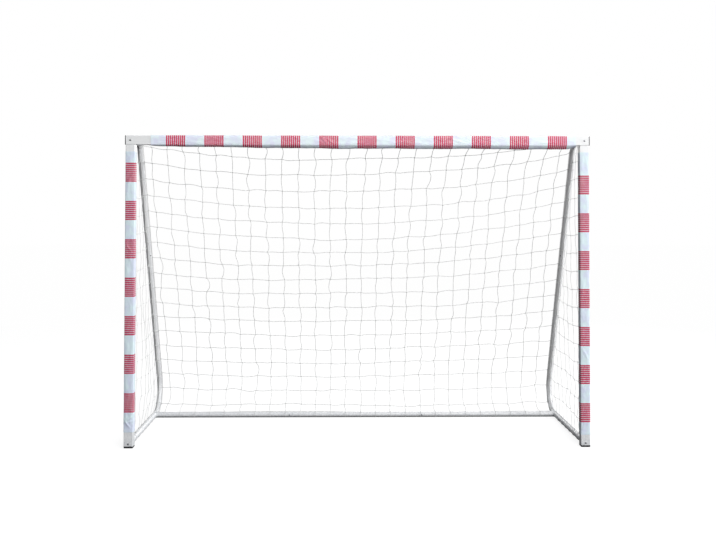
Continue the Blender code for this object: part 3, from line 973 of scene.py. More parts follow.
@dataclass
class Sleeve:
    """Striped sheet wrapped round a square tube, with a lapped seam at the back.

    The sleeve is made in its own frame: along the tube, sideways, and towards its slack.
    """

    name: str
    cloth: bpy.types.Material
    start: Vector
    along: Vector
    slack_side: Vector
    length: float
    first_block: float
    blocks: int
    rests_on: list[str]
    seam: float
    slack: Callable[[np.ndarray], np.ndarray]
    seed: int
    creases: tuple[Crease, ...] = ()
    wrinkle: float = 0.0013
    waves: tuple[float, ...] = (0.31, 0.19, 0.12, 0.075, 0.05, 0.033)
    half: float = 0.0306
    corner: float = 0.0046
    lap: float = 0.022
    thickness: float = 0.0007
    step_along: float = 0.0050
    step_around: float = 0.0030
    hem: float = 0.014
    gather: float = 1.0
    fold: float = 1.5
    spare: float = 0.0

    @property
    def around(self) -> float:
        """Length of the tight loop round the tube."""
        return 8 * (self.half - self.corner) + 2 * math.pi * self.corner

    def outline(self, around: np.ndarray) -> tuple[np.ndarray, np.ndarray, np.ndarray]:
        """Follow the rounded square from the middle of the face opposite the slack.

        Args:
            around: Distances along the outline.

        Returns:
            Points, outward normals, and the distance to the nearest corner.
        """
        flat, arc = 2 * (self.half - self.corner), math.pi * self.corner / 2
        quarter = flat + arc
        where = np.mod(around + flat / 2, 4 * quarter)
        face = np.floor(where / quarter)
        run = where - face * quarter
        turn = np.clip(run - flat, 0, arc) / self.corner
        edge = np.minimum(run, flat) - flat / 2
        point = np.stack([edge + self.corner * np.sin(turn), self.half - self.corner * (1 - np.cos(turn))])
        normal = np.stack([np.sin(turn), np.cos(turn)])
        angle = -face * math.pi / 2
        spin = np.array([[np.cos(angle), -np.sin(angle)], [np.sin(angle), np.cos(angle)]])
        point = np.einsum("ij...,j...->i...", spin, point)
        normal = np.einsum("ij...,j...->i...", spin, normal)
        return point, normal, np.maximum(flat / 2 - np.abs(edge), 0)

    def wrinkles(self, along: np.ndarray, around: np.ndarray) -> np.ndarray:
        """Soft random undulation of the cloth, from 0 up."""
        draw = np.random.default_rng(self.seed)
        total = np.zeros_like(along)
        for wave in self.waves:
            for _ in range(2):
                angle = draw.uniform(-1.2, 1.2)
                phase = draw.uniform(0, 2 * math.pi, 3)
                path = along * math.cos(angle) + around * math.sin(angle)
                path = path + 0.3 * wave * np.sin(2 * math.pi * around / 0.09 + phase[1])
                swell = 0.55 + 0.45 * np.sin(2 * math.pi * along / (wave * 4.3) + phase[2])
                total += wave**0.6 * swell * (1 - np.abs(np.sin(math.pi * path / wave + phase[0]))) ** 1.5
        return self.wrinkle * total / 0.6

    def offset(self, along: np.ndarray, around: np.ndarray, corner: np.ndarray) -> np.ndarray:
        """Distance of the cloth from the tight outline.

        Args:
            along: Distances along the sleeve.
            around: Distances round the sleeve from the seam.
            corner: Distances to the nearest corner.

        Returns:
            Distances outwards, in metres.
        """
        loose = 0.12 + 0.88 * smooth_step(corner, 0, 0.012)
        lift = self.wrinkles(along, around) * loose
        for crease in self.creases:
            lift = lift + crease.lift(along, around) * (0.4 + 0.6 * loose)
        ends = np.minimum(along, self.length - along)
        lift = lift * (0.35 + 0.65 * smooth_step(ends, 0, 0.05))
        lift = lift + 0.0006 * (1 - smooth_step(ends, self.hem, self.hem + 0.003))
        lapped = smooth_step(around, self.around - 0.004, self.around + 0.001)
        return lift + lapped * (self.thickness * 1.6)

    def shape(self, along: np.ndarray, around: np.ndarray) -> np.ndarray:
        """Place the cloth.

        Args:
            along: Distances along the sleeve.
            around: Distances round the sleeve from the seam.

        Returns:
            Points in the frame of the goal.
        """
        outline, normal, corner = self.outline(around + self.seam)
        point = outline + normal * self.offset(along, around, corner)
        bulge = np.clip(1 - np.abs(outline[0] / self.half) ** self.fold, 0, 1)
        belly = self.slack(along / self.length) * bulge
        point[1] -= belly * (outline[1] < 0)
        side = self.slack_side.cross(self.along)
        axes = np.array([self.along, side, -self.slack_side])
        local = np.stack([along, point[0], point[1]], axis=-1)
        return np.array(self.start) + local @ axes

    def build(self) -> None:
        """Wrap the sheet, give it its thickness and print its blocks."""
        columns = round(self.length / self.step_along)
        rows = round((self.around + self.lap) / self.step_around)
        bpy.ops.mesh.primitive_grid_add(x_subdivisions=columns, y_subdivisions=rows, size=1)
        sheet = bpy.context.active_object
        flat = np.zeros(len(sheet.data.vertices) * 3)
        sheet.data.vertices.foreach_get("co", flat)
        flat = flat.reshape(-1, 3) + 0.5
        along, around = flat[:, 0] * self.length, flat[:, 1] * (self.around + self.lap)
        sheet.data.vertices.foreach_set("co", self.shape(along, around).ravel())
        self.print_blocks(sheet, along, around)
        apply_modifier(sheet, "SOLIDIFY", thickness=self.thickness, offset=1)
        settle(sheet, 60)
        dress(sheet, f"{self.name}_cloth", self.cloth, [self.name])

    def print_blocks(self, sheet: bpy.types.Object, along: np.ndarray, around: np.ndarray) -> None:
        """Write the UV map in metres and the length of the sleeve that is printed."""
        mesh = sheet.data
        corners = np.zeros(len(mesh.loops), dtype=np.int32)
        mesh.loops.foreach_get("vertex_index", corners)
        uv = np.stack([(along[corners] - self.first_block) * self.gather, around[corners]], axis=1)
        mesh.uv_layers[0].uv.foreach_set("vector", uv.astype(np.float32).ravel())
        printed = mesh.attributes.new("printed_length", "FLOAT", "POINT")
        length = np.full(len(mesh.vertices), self.blocks * BLOCK_PITCH, dtype=np.float32)
        printed.data.foreach_set("value", length)


@dataclass
class Sleeves:
    """Sleeves of the crossbar and of the two posts."""

    bar_cloth: bpy.types.Material
    # Darker copy of the cloth for the posts, which paints in their shade.
    post_cloth: bpy.types.Material
    bar_left: float = -1.335
    bar_right: float = 1.411
    bar_first: float = -1.2375
    bar_slack: float = 0.020
    bar_spare: float = 0.014
    bar_seam: float = 0.1777
    bar_blocks: int = 11
    post_top: float = 1.896
    post_seam: float = 0.1185
    post_blocks: int = 7
    post_wrinkle: float = 0.0015

    def bar_belly(self, share: np.ndarray) -> np.ndarray:
        """Slack under the crossbar, which grows to the middle and is drawn in at both ends."""
        swell = 0.34 + 0.66 * smooth_step(share, -0.05, 0.45) + 0.15 * smooth_step(share, 0.6, 1)
        ripple = 1 + 0.06 * np.sin(31 * share) + 0.04 * np.sin(73 * share + 1)
        ends = smooth_step(np.minimum(share, 1 - share), -0.01, 0.02)
        return self.bar_slack * swell * ripple * (0.3 + 0.7 * ends)

    @staticmethod
    def post_belly(share: np.ndarray) -> np.ndarray:
        """Slack behind a post, in long shallow waves."""
        return 0.003 * (0.7 + 0.3 * np.sin(7 * math.pi * share))

    def build(self) -> None:
        """Build the three sleeves."""
        bars = [f"crossbar_{part}" for part in ("left", "middle", "right")]
        Sleeve(
            name="crossbar_sleeve",
            cloth=self.bar_cloth,
            start=SIZES.at(self.bar_left, 0, SIZES.bar_z),
            along=Vector((1, 0, 0)),
            slack_side=Vector((0, 0, -1)),
            length=self.bar_right - self.bar_left,
            first_block=self.bar_first - self.bar_left,
            blocks=self.bar_blocks,
            rests_on=bars,
            seam=self.bar_seam,
            slack=self.bar_belly,
            spare=self.bar_spare,
            seed=11,
            creases=(
                Crease(1.115, 0.118, 50, 0.026, 0.0045, 0.0034),
                Crease(1.160, 0.128, 38, 0.034, 0.0050, 0.0014),
                Crease(0.360, 0.116, -24, 0.060, 0.0050, 0.0012),
                Crease(1.980, 0.122, 18, 0.070, 0.0050, 0.0013),
            ),
        ).build()
        self.build_post(Side.LEFT, bottom=0.102, first=1.824, gather=1.004, seed=23)
        self.build_post(Side.RIGHT, bottom=0.080, first=1.746, gather=1.010, seed=37)

    def build_post(self, side: Side, bottom: float, first: float, gather: float, seed: int) -> None:
        """Build the sleeve of one post.

        Args:
            side: Side of the post.
            bottom: Height of the sleeve's lower end.
            first: Height of the top edge of its first block.
            gather: Length of cloth in a metre of the sleeve.
            seed: Number that fixes its wrinkles.
        """
        length = self.post_top - bottom
        low = length - 0.060
        folds = {
            Side.LEFT: (
                Crease(low - 0.030, 0.110, 52, 0.050, 0.0065, 0.0052),
                Crease(low, 0.132, -38, 0.036, 0.0055, 0.0044),
                Crease(low - 0.012, 0.088, 75, 0.034, 0.0050, 0.0036),
                Crease(0.155, 0.108, 30, 0.045, 0.0060, 0.0026),
                Crease(0.62, 0.125, -35, 0.050, 0.0060, 0.0022),
                Crease(1.14, 0.105, 48, 0.050, 0.0055, 0.0024),
            ),
            Side.RIGHT: (
                Crease(0.40, 0.115, 40, 0.045, 0.0055, 0.0018),
                Crease(1.30, 0.120, -30, 0.050, 0.0060, 0.0018),
            ),
        }
        Sleeve(
            name=f"post_sleeve_{side.label}",
            cloth=self.post_cloth,
            start=SIZES.at(side.sign * SIZES.post_x, 0, self.post_top),
            along=Vector((0, 0, -1)),
            slack_side=Vector((0, 1, 0)),
            length=length,
            first_block=self.post_top - first,
            blocks=self.post_blocks,
            rests_on=[f"post_{side.label}_upper", f"post_{side.label}_lower"],
            seam=self.post_seam,
            slack=self.post_belly,
            seed=seed,
            creases=folds[side],
            wrinkle=self.post_wrinkle,
            gather=gather,
        ).build()


# Net


@dataclass
class CordWork:
    """Cords and knots of one panel of the net, gathered into one mesh."""

    name: str
    twine: bpy.types.Material
    radius: float = 0.0015
    sides: int = 6
    lay: float = 0.009
    points: list[np.ndarray] = field(default_factory=list)
    faces: list[np.ndarray] = field(default_factory=list)
    turns: list[np.ndarray] = field(default_factory=list)
    count: int = 0

    def add_cord(self, line: np.ndarray, closed: bool = False, radius: float | None = None) -> None:
        """Add one cord.

        Args:
            line: Points along its middle.
            closed: Whether the cord is a ring.
            radius: Its radius, if it isn't a mesh cord.
        """
        radius = radius or self.radius
        size = len(line)
        if closed:
            heading = np.roll(line, -1, axis=0) - np.roll(line, 1, axis=0)
        else:
            heading = np.gradient(line, axis=0)
        heading /= np.linalg.norm(heading, axis=1)[:, None]
        across = np.zeros_like(line)
        across[0] = np.cross(heading[0], (0.37, 0.61, 0.70))
        for step in range(1, size):
            across[step] = across[step - 1] - heading[step] * (across[step - 1] @ heading[step])
            across[step] /= np.linalg.norm(across[step])
        across[0] /= np.linalg.norm(across[0])
        other = np.cross(heading, across)
        angles = np.arange(self.sides) * 2 * math.pi / self.sides
        cosine, sine = np.cos(angles)[None, :, None], np.sin(angles)[None, :, None]
        ring = cosine * across[:, None] + sine * other[:, None]
        self.points.append((line[:, None] + radius * ring).reshape(-1, 3))
        steps = size if closed else size - 1
        first = np.arange(steps)[:, None] * self.sides + np.arange(self.sides)[None]
        beside = np.arange(steps)[:, None] * self.sides + (np.arange(self.sides)[None] + 1) % self.sides
        ahead = self.sides * size if closed else 0
        far, far_beside = first + self.sides, beside + self.sides
        if closed:
            far, far_beside = far % ahead, far_beside % ahead
        quads = np.stack([first, beside, far_beside, far], axis=-1).reshape(-1, 4)
        length = np.concatenate([[0], np.cumsum(np.linalg.norm(np.diff(line, axis=0), axis=1))])
        length = np.append(length, length[-1]) / self.lay
        start, end = np.repeat(length[:steps], self.sides), np.repeat(length[1 : steps + 1], self.sides)
        turn = np.tile(np.arange(self.sides) / self.sides, steps)
        after = turn + 1 / self.sides
        self.turns.append(np.stack([turn, start, after, start, after, end, turn, end], axis=1).reshape(-1, 2))
        self.faces.append(quads + self.count)
        if not closed:
            self.close_end(0, reverse=True)
            self.close_end((size - 1) * self.sides, reverse=False)
        self.count += size * self.sides

    def close_end(self, first: int, reverse: bool) -> None:
        """Close one end of a cord with two faces."""
        half = self.sides // 2
        ring = list(range(first, first + self.sides))
        for face in (ring[: half + 1], [ring[0], *ring[half:]]):
            face = face[::-1] if reverse else face
            self.faces.append(np.array([face]) + self.count)
            self.turns.append(np.zeros((len(face), 2)))

    def add_shape(self, points: np.ndarray, faces: np.ndarray) -> None:
        """Add a copy of a small closed shape, such as a knot."""
        self.points.append(points)
        self.faces.append(faces + self.count)
        self.turns.append(np.zeros((faces.size, 2)))
        self.count += len(points)

    def build(self, nodes: Sequence[str]) -> bpy.types.Object:
        """Make the mesh of the panel and fix it to the goal.

        Args:
            nodes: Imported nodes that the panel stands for.

        Returns:
            The panel.
        """
        mesh = bpy.data.meshes.new(self.name)
        points = np.concatenate(self.points)
        mesh.vertices.add(len(points))
        mesh.vertices.foreach_set("co", points.astype(np.float32).ravel())
        corners = np.concatenate([faces.ravel() for faces in self.faces]).astype(np.int32)
        sizes = np.concatenate([np.full(len(faces), faces.shape[1]) for faces in self.faces]).astype(np.int32)
        mesh.loops.add(len(corners))
        mesh.loops.foreach_set("vertex_index", corners)
        mesh.polygons.add(len(sizes))
        mesh.polygons.foreach_set("loop_start", (np.cumsum(sizes) - sizes).astype(np.int32))
        mesh.update(calc_edges=True)
        layer = mesh.uv_layers.new(name="turns")
        layer.uv.foreach_set("vector", np.concatenate(self.turns).astype(np.float32).ravel())
        mesh.validate()
        mesh.shade_smooth()
        panel = bpy.data.objects.new(self.name, mesh)
        bpy.context.scene.collection.objects.link(panel)
        return dress(panel, self.name, self.twine, nodes)


@dataclass
class Knot:
    """Small netting knot, modelled once and copied to every crossing."""

    size: float = 0.0031
    points: np.ndarray = field(init=False)
    faces: np.ndarray = field(init=False)

    def __post_init__(self) -> None:
        """Shape a small ball into a knot with three lobes."""
        bpy.ops.mesh.primitive_ico_sphere_add(subdivisions=2, radius=self.size)
        ball = bpy.context.active_object
        with edited(ball):
            bpy.ops.mesh.select_all(action="SELECT")
            bpy.ops.transform.resize(value=(1.25, 0.85, 1.05), center_override=(0, 0, 0))
        points = np.array([vert.co for vert in ball.data.vertices])
        turn = np.arctan2(points[:, 2], points[:, 0])
        self.points = points * (1 + 0.16 * np.cos(3 * turn + 40 * points[:, 1] / self.size))[:, None]
        self.faces = np.array([list(face.vertices) for face in ball.data.polygons])
        bpy.data.objects.remove(ball)

    def at(self, place: np.ndarray, turn: float) -> np.ndarray:
        """Points of a copy at a place, turned about Y."""
        spin = np.array(Matrix.Rotation(turn, 3, "Y"))
        return self.points @ spin.T + place


@dataclass
class Net:
    """One slack net: a back panel that hangs over the side frames, and two side panels."""

    twine: bpy.types.Material
    side_twine: bpy.types.Material
    knot: Knot = field(default_factory=Knot)
    first_column: float = -1.392
    column_step: float = 0.1098
    columns: int = 26
    column_lean: float = 0.05
    column_room: float = 0.012
    first_row: int = -2
    last_row: int = 18
    first_run: float = 0.0060
    row_start: float = 0.262
    row_step: float = 0.1232
    row_shift: float = 0.072
    edge_clear: float = 0.0030
    loop_sides: int = 16
    edge_cord: float = 0.0019
    ground_clear: float = 0.0003
    side_mesh: float = 0.120
    side_columns: int = 9
    side_rows: int = 16
    side_low: float = 0.048
    side_room: float = 0.012
    post_clear: float = 0.0075
    outline_run: float = 2.483
    outline_step: float = 0.030
    side_radius: float = 0.0013
    pieces_per_cord: int = 4
    sag_rows: tuple[float, ...] = (-2, -1, 0, 1, 3, 5, 7, 9, 11, 13, 15, 16, 17, 18)
    sag_down: tuple[float, ...] = (
        *(0, 0.034, 0.107, 0.120, 0.122, 0.112, 0.085),
        *(0.072, 0.050, 0.039, 0.034, 0.018, 0, 0),
    )
    sag_forward: tuple[float, ...] = (
        *(0, 0.0, 0.02, 0.044, 0.045, 0.045, 0.043),
        *(0.040, 0.037, 0.033, 0.030, 0.097, 0.1, 0),
    )
    sag_power: float = 2.4
    drift: float = 0.004

    @property
    def reach(self) -> float:
        """Distance from the middle of the goal to the back panel's side edge."""
        return SIZES.post_x - SIZES.tube / 2 - self.edge_clear

    @property
    def side_front(self) -> float:
        """Distance behind the line of the posts to the front edge of a side panel."""
        return SIZES.square / 2 + self.post_clear

    def build(self) -> None:
        """Build the three panels."""
        self.build_back()
        for side in Side:
            self.build_side(side)

    # The line of a side frame

    def frame_line(self, run: float) -> tuple[float, float, float]:
        """Follow the middle of a side frame back from the crossbar.

        Args:
            run: Distance along the bent tube from the back of the crossbar.

        Returns:
            Distance behind the posts, height, and the tube's heading as an angle from +Y.
        """
        top = SIZES.top_centre.y - SIZES.post_y
        turn = math.pi / 2 - SIZES.lean
        straight = top - SIZES.square / 2
        if run < straight:
            return SIZES.square / 2 + run, SIZES.bar_z, 0.0
        run -= straight
        if run < SIZES.top_bend * turn:
            angle = run / SIZES.top_bend
            drop = SIZES.top_bend * (1 - math.cos(angle))
            return top + SIZES.top_bend * math.sin(angle), SIZES.bar_z - drop, -angle
        run -= SIZES.top_bend * turn
        head = SIZES.stay_point(SIZES.bar_z - SIZES.top_bend * (1 - math.cos(turn)))
        length = (head - SIZES.stay_foot).length
        if run < length:
            place = head.lerp(SIZES.stay_foot, run / length)
            return place.y - SIZES.post_y, place.z, -turn
        angle = (run - length) / SIZES.rear_bend
        around = SIZES.lean - angle
        back = SIZES.rear_back + SIZES.rear_bend * math.cos(around)
        return back, SIZES.rear_z + SIZES.rear_bend * math.sin(around), -turn - angle

    def row_run(self, row: float, share: float) -> float:
        """Distance along the side frames at which a row hangs.

        Args:
            row: Row counted down from the first one below the top bend.
            share: Place across the net from 0 on the left to 1 on the right.

        Returns:
            Distance from the back of the crossbar.
        """
        if row <= self.first_row:
            return self.first_run
        fade = min(max((self.last_row - row) / 10, 0), 1)
        return self.row_start + self.row_step * row - self.row_shift * share * fade

    def rail_edge(self) -> tuple[float, float]:
        """Distance behind the posts and height of the net's edge on the rear rail."""
        axis = SIZES.ground_point(SIZES.rail_back)
        towards = (SIZES.stay_foot - axis).normalized() * (SIZES.tube / 2 + self.edge_clear)
        return SIZES.rail_back + towards.y, axis.z + towards.z

    def back_point(self, x: float, row: float) -> np.ndarray:
        """Point of the back panel.

        Args:
            x: Place across the goal.
            row: Row, from -2 at the crossbar to 18 at the rear rail.

        Returns:
            The point in the frame of the goal.
        """
        share = (x / self.reach + 1) / 2
        if row >= self.last_row:
            back, z = self.rail_edge()
        else:
            back, z, _ = self.frame_line(self.row_run(row, share))
        hang = max(1 - abs(x / self.reach) ** self.sag_power, 0)
        down = np.interp(row, self.sag_rows, self.sag_down)
        forward = np.interp(row, self.sag_rows, self.sag_forward)
        waves = math.sin(2.3 * x + 0.9 * row) + 0.7 * math.sin(4.1 * x - 0.6 * row + 1)
        drift = self.drift * hang**0.5 * waves
        return np.array(SIZES.at(x, back - forward * hang, z - down * hang + drift))

    def column_x(self, column: int, row: float) -> float:
        """Place of a column at a row, with its lean near the crossbar."""
        x = self.first_column + column * self.column_step
        lean = self.column_lean + self.column_lean * max(x, -0.6)
        leant = x + lean * math.exp(-(row - self.first_row) / 1.5)
        return min(leant, SIZES.post_x - SIZES.tube / 2 - self.column_room)

    # Cords

    def slack_cord(
        self, knots: Sequence[np.ndarray], sway: np.ndarray, draw: np.random.Generator
    ) -> np.ndarray:
        """Join knots by a cord that bows a little between them.

        Args:
            knots: Knots in order.
            sway: How far the cord bows along X, Y and Z.
            draw: Source of the random bows.

        Returns:
            Points along the cord.
        """
        line = []
        for start, end in zip(knots, knots[1:]):
            length = np.linalg.norm(end - start)
            bow = draw.normal(0, 1, 3) * sway * min(length / 0.11, 1)
            bend = draw.normal(0, 0.35, 3) * sway
            for step in range(self.pieces_per_cord):
                share = step / self.pieces_per_cord
                arch = 4 * share * (1 - share)
                wave = math.sin(2 * math.pi * share)
                line.append(start + (end - start) * share + bow * arch + bend * wave)
        line.append(knots[-1])
        return np.array(line)

    def tube_loop(self, work: CordWork, centre: np.ndarray, along: np.ndarray, turn: float = 0.0) -> None:
        """Add a cord loop round a round tube. On a tube that lies on the ground it tucks in at both sides.

        Args:
            work: Panel that gets the loop.
            centre: Point on the tube's axis.
            along: Direction of the tube.
            turn: Slant of the loop.
        """
        along = along / np.linalg.norm(along)
        side = np.cross(along, (0.0, 0.0, 1.0))
        side /= np.linalg.norm(side)
        upper = np.cross(side, along)
        radius = SIZES.tube / 2 + work.radius
        lowest = (work.radius + self.ground_clear - centre[2]) / (radius * upper[2])
        closed = lowest < -1
        if closed:
            angles = np.arange(self.loop_sides) * 2 * math.pi / self.loop_sides
        else:
            tuck = math.asin(lowest)
            angles = np.linspace(tuck, math.pi - tuck, self.loop_sides)
        ring = np.cos(angles)[:, None] * side + np.sin(angles)[:, None] * upper
        slant = np.sin(angles)[:, None] * along * turn
        work.add_cord(centre + ring * radius + slant, closed=closed)

    def build_back(self) -> None:
        """Build the panel that hangs from the crossbar over the side frames to the rear rail."""
        draw = np.random.default_rng(5)
        work = CordWork("net_back_twine", self.twine)
        rows = list(range(self.first_row, self.last_row + 1))
        grid: list[list[np.ndarray]] = []
        for row in rows:
            xs = [-self.reach, *(self.column_x(column, row) for column in range(self.columns)), self.reach]
            line = [self.back_point(x, row) for x in xs]
            if self.first_row < row < self.last_row:
                for place in line[1:-1]:
                    place += draw.normal(0, 1, 3) * (0.0035, 0.003, 0.0030)
            grid.append(line)
        for index, line in enumerate(grid):
            edge = index in (0, len(grid) - 1)
            sway = np.array((0.0, 0.0008, 0.0008)) if edge else np.array((0.001, 0.003, 0.0028))
            work.add_cord(self.slack_cord(line, sway, draw), radius=self.edge_cord if edge else None)
        for column in range(self.columns + 2):
            edge = column in (0, self.columns + 1)
            sway = np.array((0.0, 0.0, 0.0)) if edge else np.array((0.0060, 0.004, 0.001))
            knots = [line[column] for line in grid]
            work.add_cord(self.slack_cord(knots, sway, draw), radius=self.edge_cord if edge else None)
            for place in knots[1:-1] if not edge else knots:
                work.add_shape(self.knot.at(place, draw.uniform(0, math.pi)), self.knot.faces)
        self.tie_back(work, rows)
        work.build(["net_top", "net_back", "net_foot"])

    def tie_back(self, work: CordWork, rows: Sequence[int]) -> None:
        """Tie the back panel to the side frames, the rear rail and the crossbar's sleeve."""
        for side in Side:
            for row in rows[1:-1]:
                back, z, heading = self.frame_line(self.row_run(row, (side.sign + 1) / 2))
                centre = np.array(SIZES.at(side.sign * SIZES.post_x, back, z))
                self.tube_loop(work, centre, np.array((0, math.cos(heading), math.sin(heading))), 0.002)
        axis = SIZES.ground_point(SIZES.rail_back)
        for column in range(self.columns):
            centre = np.array((self.column_x(column, self.last_row), axis.y, axis.z))
            self.tube_loop(work, centre, np.array((1.0, 0, 0)), 0.0015)
            seam = self.back_point(self.column_x(column, self.first_row), self.first_row)
            self.seam_tie(work, seam, 0.0030, 0.0058)

    @staticmethod
    def seam_tie(work: CordWork, seam: np.ndarray, bend: float, end: float) -> None:
        """Lead a cord from the net's edge into the seam of a sleeve.

        Args:
            work: Panel that gets the cord.
            seam: Point of the net's edge.
            bend: How far forward of the edge the cord starts to drop.
            end: How far forward of the edge the cord ends.
        """
        work.add_cord(np.array([seam, seam - (0, bend, 0), seam - (0, end, 0.001)]))

    # Side panels

    def side_outline(self) -> list[tuple[float, float]]:
        """Corners of a side panel just inside its tubes, as distances back and heights."""
        inset = SIZES.tube / 2 + self.edge_clear
        corners = []
        for run in np.arange(self.first_run, self.outline_run, self.outline_step):
            back, z, heading = self.frame_line(run)
            corners.append((back + inset * math.sin(heading), z - inset * math.cos(heading)))
        low = SIZES.ground_point(self.side_front)
        corners.append((SIZES.rear_back, SIZES.tube / 2 + inset))
        corners.append((self.side_front, low.z + inset))
        corners.append((self.side_front, SIZES.bar_z - inset))
        return corners

    @staticmethod
    def crossings(outline: Sequence[tuple[float, float]], axis: int, level: float) -> list[float]:
        """Where a straight line at a level crosses the outline.

        Args:
            outline: Corners of the closed outline.
            axis: 0 for a line at one distance back, and 1 for a line at one height.
            level: Distance back or height of the line.

        Returns:
            The other coordinate of each crossing, in order.
        """
        found = []
        for start, end in zip(outline, [*outline[1:], outline[0]]):
            if (start[axis] - level) * (end[axis] - level) < 0:
                share = (level - start[axis]) / (end[axis] - start[axis])
                found.append(start[1 - axis] + share * (end[1 - axis] - start[1 - axis]))
        return sorted(found)

    def side_point(self, side: Side, back: float, z: float, give: float) -> np.ndarray:
        """Point of a side panel, which hangs a little inwards and down.

        Args:
            side: Side of the panel.
            back: Distance behind the posts on the flat panel.
            z: Height on the flat panel.
            give: Slack at the point, from 0 at the edges to 1.

        Returns:
            The point in the frame of the goal.
        """
        phase = 1.7 * side.sign
        inward = 0.016 + 0.012 * math.sin(5.1 * back + 3.3 * z + phase)
        shift = 0.010 * math.sin(7.0 * z + 2.2 * back + phase)
        drop = 0.016 + 0.008 * math.sin(6.3 * back - 2.0 * z + phase)
        x = side.sign * (SIZES.post_x - inward * give)
        return np.array(SIZES.at(x, back + shift * give, z - drop * give))

    def build_side(self, side: Side) -> None:
        """Build the panel inside one side frame, with its meshes cut off along the tubes."""
        draw = np.random.default_rng(40 + side.sign)
        work = CordWork(f"net_{side.label}_twine", self.side_twine, self.side_radius)
        outline = self.side_outline()
        backs = [self.side_front + self.side_mesh * step for step in range(1, self.side_columns + 1)]
        heights = [self.side_low + self.side_mesh * step for step in range(1, self.side_rows + 1)]
        grid: dict[tuple[int, int], np.ndarray] = {}
        for column, back in enumerate(backs):
            for row, z in enumerate(heights):
                span_z = self.crossings(outline, 0, back)
                span_y = self.crossings(outline, 1, z)
                if len(span_z) < 2 or len(span_y) < 2:
                    continue
                room = min(z - span_z[0], span_z[-1] - z, back - span_y[0], span_y[-1] - back)
                if room > self.side_room:
                    give = min(room / 0.22, 1) ** 0.7
                    grid[column, row] = self.side_point(side, back, z, give) + draw.normal(0, 0.0025, 3)
        self.lay_side_cords(side, work, outline, (backs, heights), grid, draw)
        ring = np.array([self.side_point(side, back, z, 0) for back, z in outline])
        work.add_cord(ring, closed=True, radius=self.edge_cord)
        self.tie_side(side, work, heights, backs)
        work.build([f"net_{side.label}"])

    def lay_side_cords(
        self,
        side: Side,
        work: CordWork,
        outline: Sequence[tuple[float, float]],
        lines: tuple[list[float], list[float]],
        grid: dict[tuple[int, int], np.ndarray],
        draw: np.random.Generator,
    ) -> None:
        """Lay the upright and the level cords of a side panel from edge to edge.

        Args:
            side: Side of the panel.
            work: Panel that gets the cords.
            outline: Corners of the panel.
            lines: Distances back of the upright cords and heights of the level ones.
            grid: Knots by column and row.
            draw: Source of the random bows.
        """
        sways = (np.array((0.0035, 0.0045, 0.001)), np.array((0.0035, 0.001, 0.0030)))
        for axis, levels in enumerate(lines):
            for index, level in enumerate(levels):
                ends = self.crossings(outline, axis, level)
                if len(ends) < 2:
                    continue
                knots = [grid[key] for key in sorted(grid) if key[axis] == index]
                edges = [(level, end) if axis == 0 else (end, level) for end in (ends[0], ends[-1])]
                first, last = (self.side_point(side, *edge, 0) for edge in edges)
                work.add_cord(self.slack_cord([first, *knots, last], sways[axis], draw))
        for place in grid.values():
            work.add_shape(self.knot.at(place, draw.uniform(0, math.pi)), self.knot.faces)

    def tie_side(self, side: Side, work: CordWork, heights: Sequence[float], backs: Sequence[float]) -> None:
        """Tie a side panel to the stay, to the ground tube and into the sleeve of its post."""
        x = side.sign * SIZES.post_x
        for z in heights:
            if SIZES.stay_foot.z < z < SIZES.bar_z - SIZES.top_bend:
                place = SIZES.stay_point(z - 0.012)
                self.tube_loop(work, np.array((x, place.y, place.z)), np.array(SIZES.up_stay), -0.002)
            self.seam_tie(work, np.array(SIZES.at(x, self.side_front, z)), 0.0020, 0.0045)
        for back in backs:
            if back < SIZES.rail_back - 0.05:
                place = SIZES.ground_point(back)
                self.tube_loop(work, np.array((x, place.y, place.z)), np.array((0, 1.0, 0)), 0.002)


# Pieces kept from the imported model


@dataclass
class KeptSolids:
    """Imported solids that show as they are, each with its finish."""

    nodes: dict[str, bpy.types.Object]
    finishes: dict[Slot, bpy.types.Material]

    def dress(self) -> None:
        """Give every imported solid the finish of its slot."""
        endings = {"cap": Slot.PLASTIC, "bolt": Slot.ZINC, "plug": Slot.ZINC, "screw": Slot.ZINC}
        for name, node in self.nodes.items():
            slot = next((slot for word, slot in endings.items() if word in name), Slot.STEEL)
            if not node.material_slots:
                node.data.materials.append(self.finishes[slot])
            for holder in node.material_slots:
                holder.material = self.finishes[slot]
            if not node.hide_render:
                LOG.info("%s: kept, %s", name, slot.value)


# Studio


@dataclass(frozen=True)
class Lamp:
    """Broad soft light that is aimed at the goal."""

    name: str
    place: Place
    power: float
    size: float
    colour: Colour = (1.0, 0.99, 0.97)
    aim: Place = (0.0, -0.6, 1.0)

    def build(self) -> None:
        """Add the light."""
        data = bpy.data.lights.new(self.name, "AREA")
        data.energy = self.power
        data.size = self.size
        data.color = self.colour
        lamp = bpy.data.objects.new(self.name, data)
        lamp.location = self.place
        lamp.rotation_euler = (Vector(self.aim) - Vector(self.place)).to_track_quat("-Z", "Y").to_euler()
        bpy.context.scene.collection.objects.link(lamp)


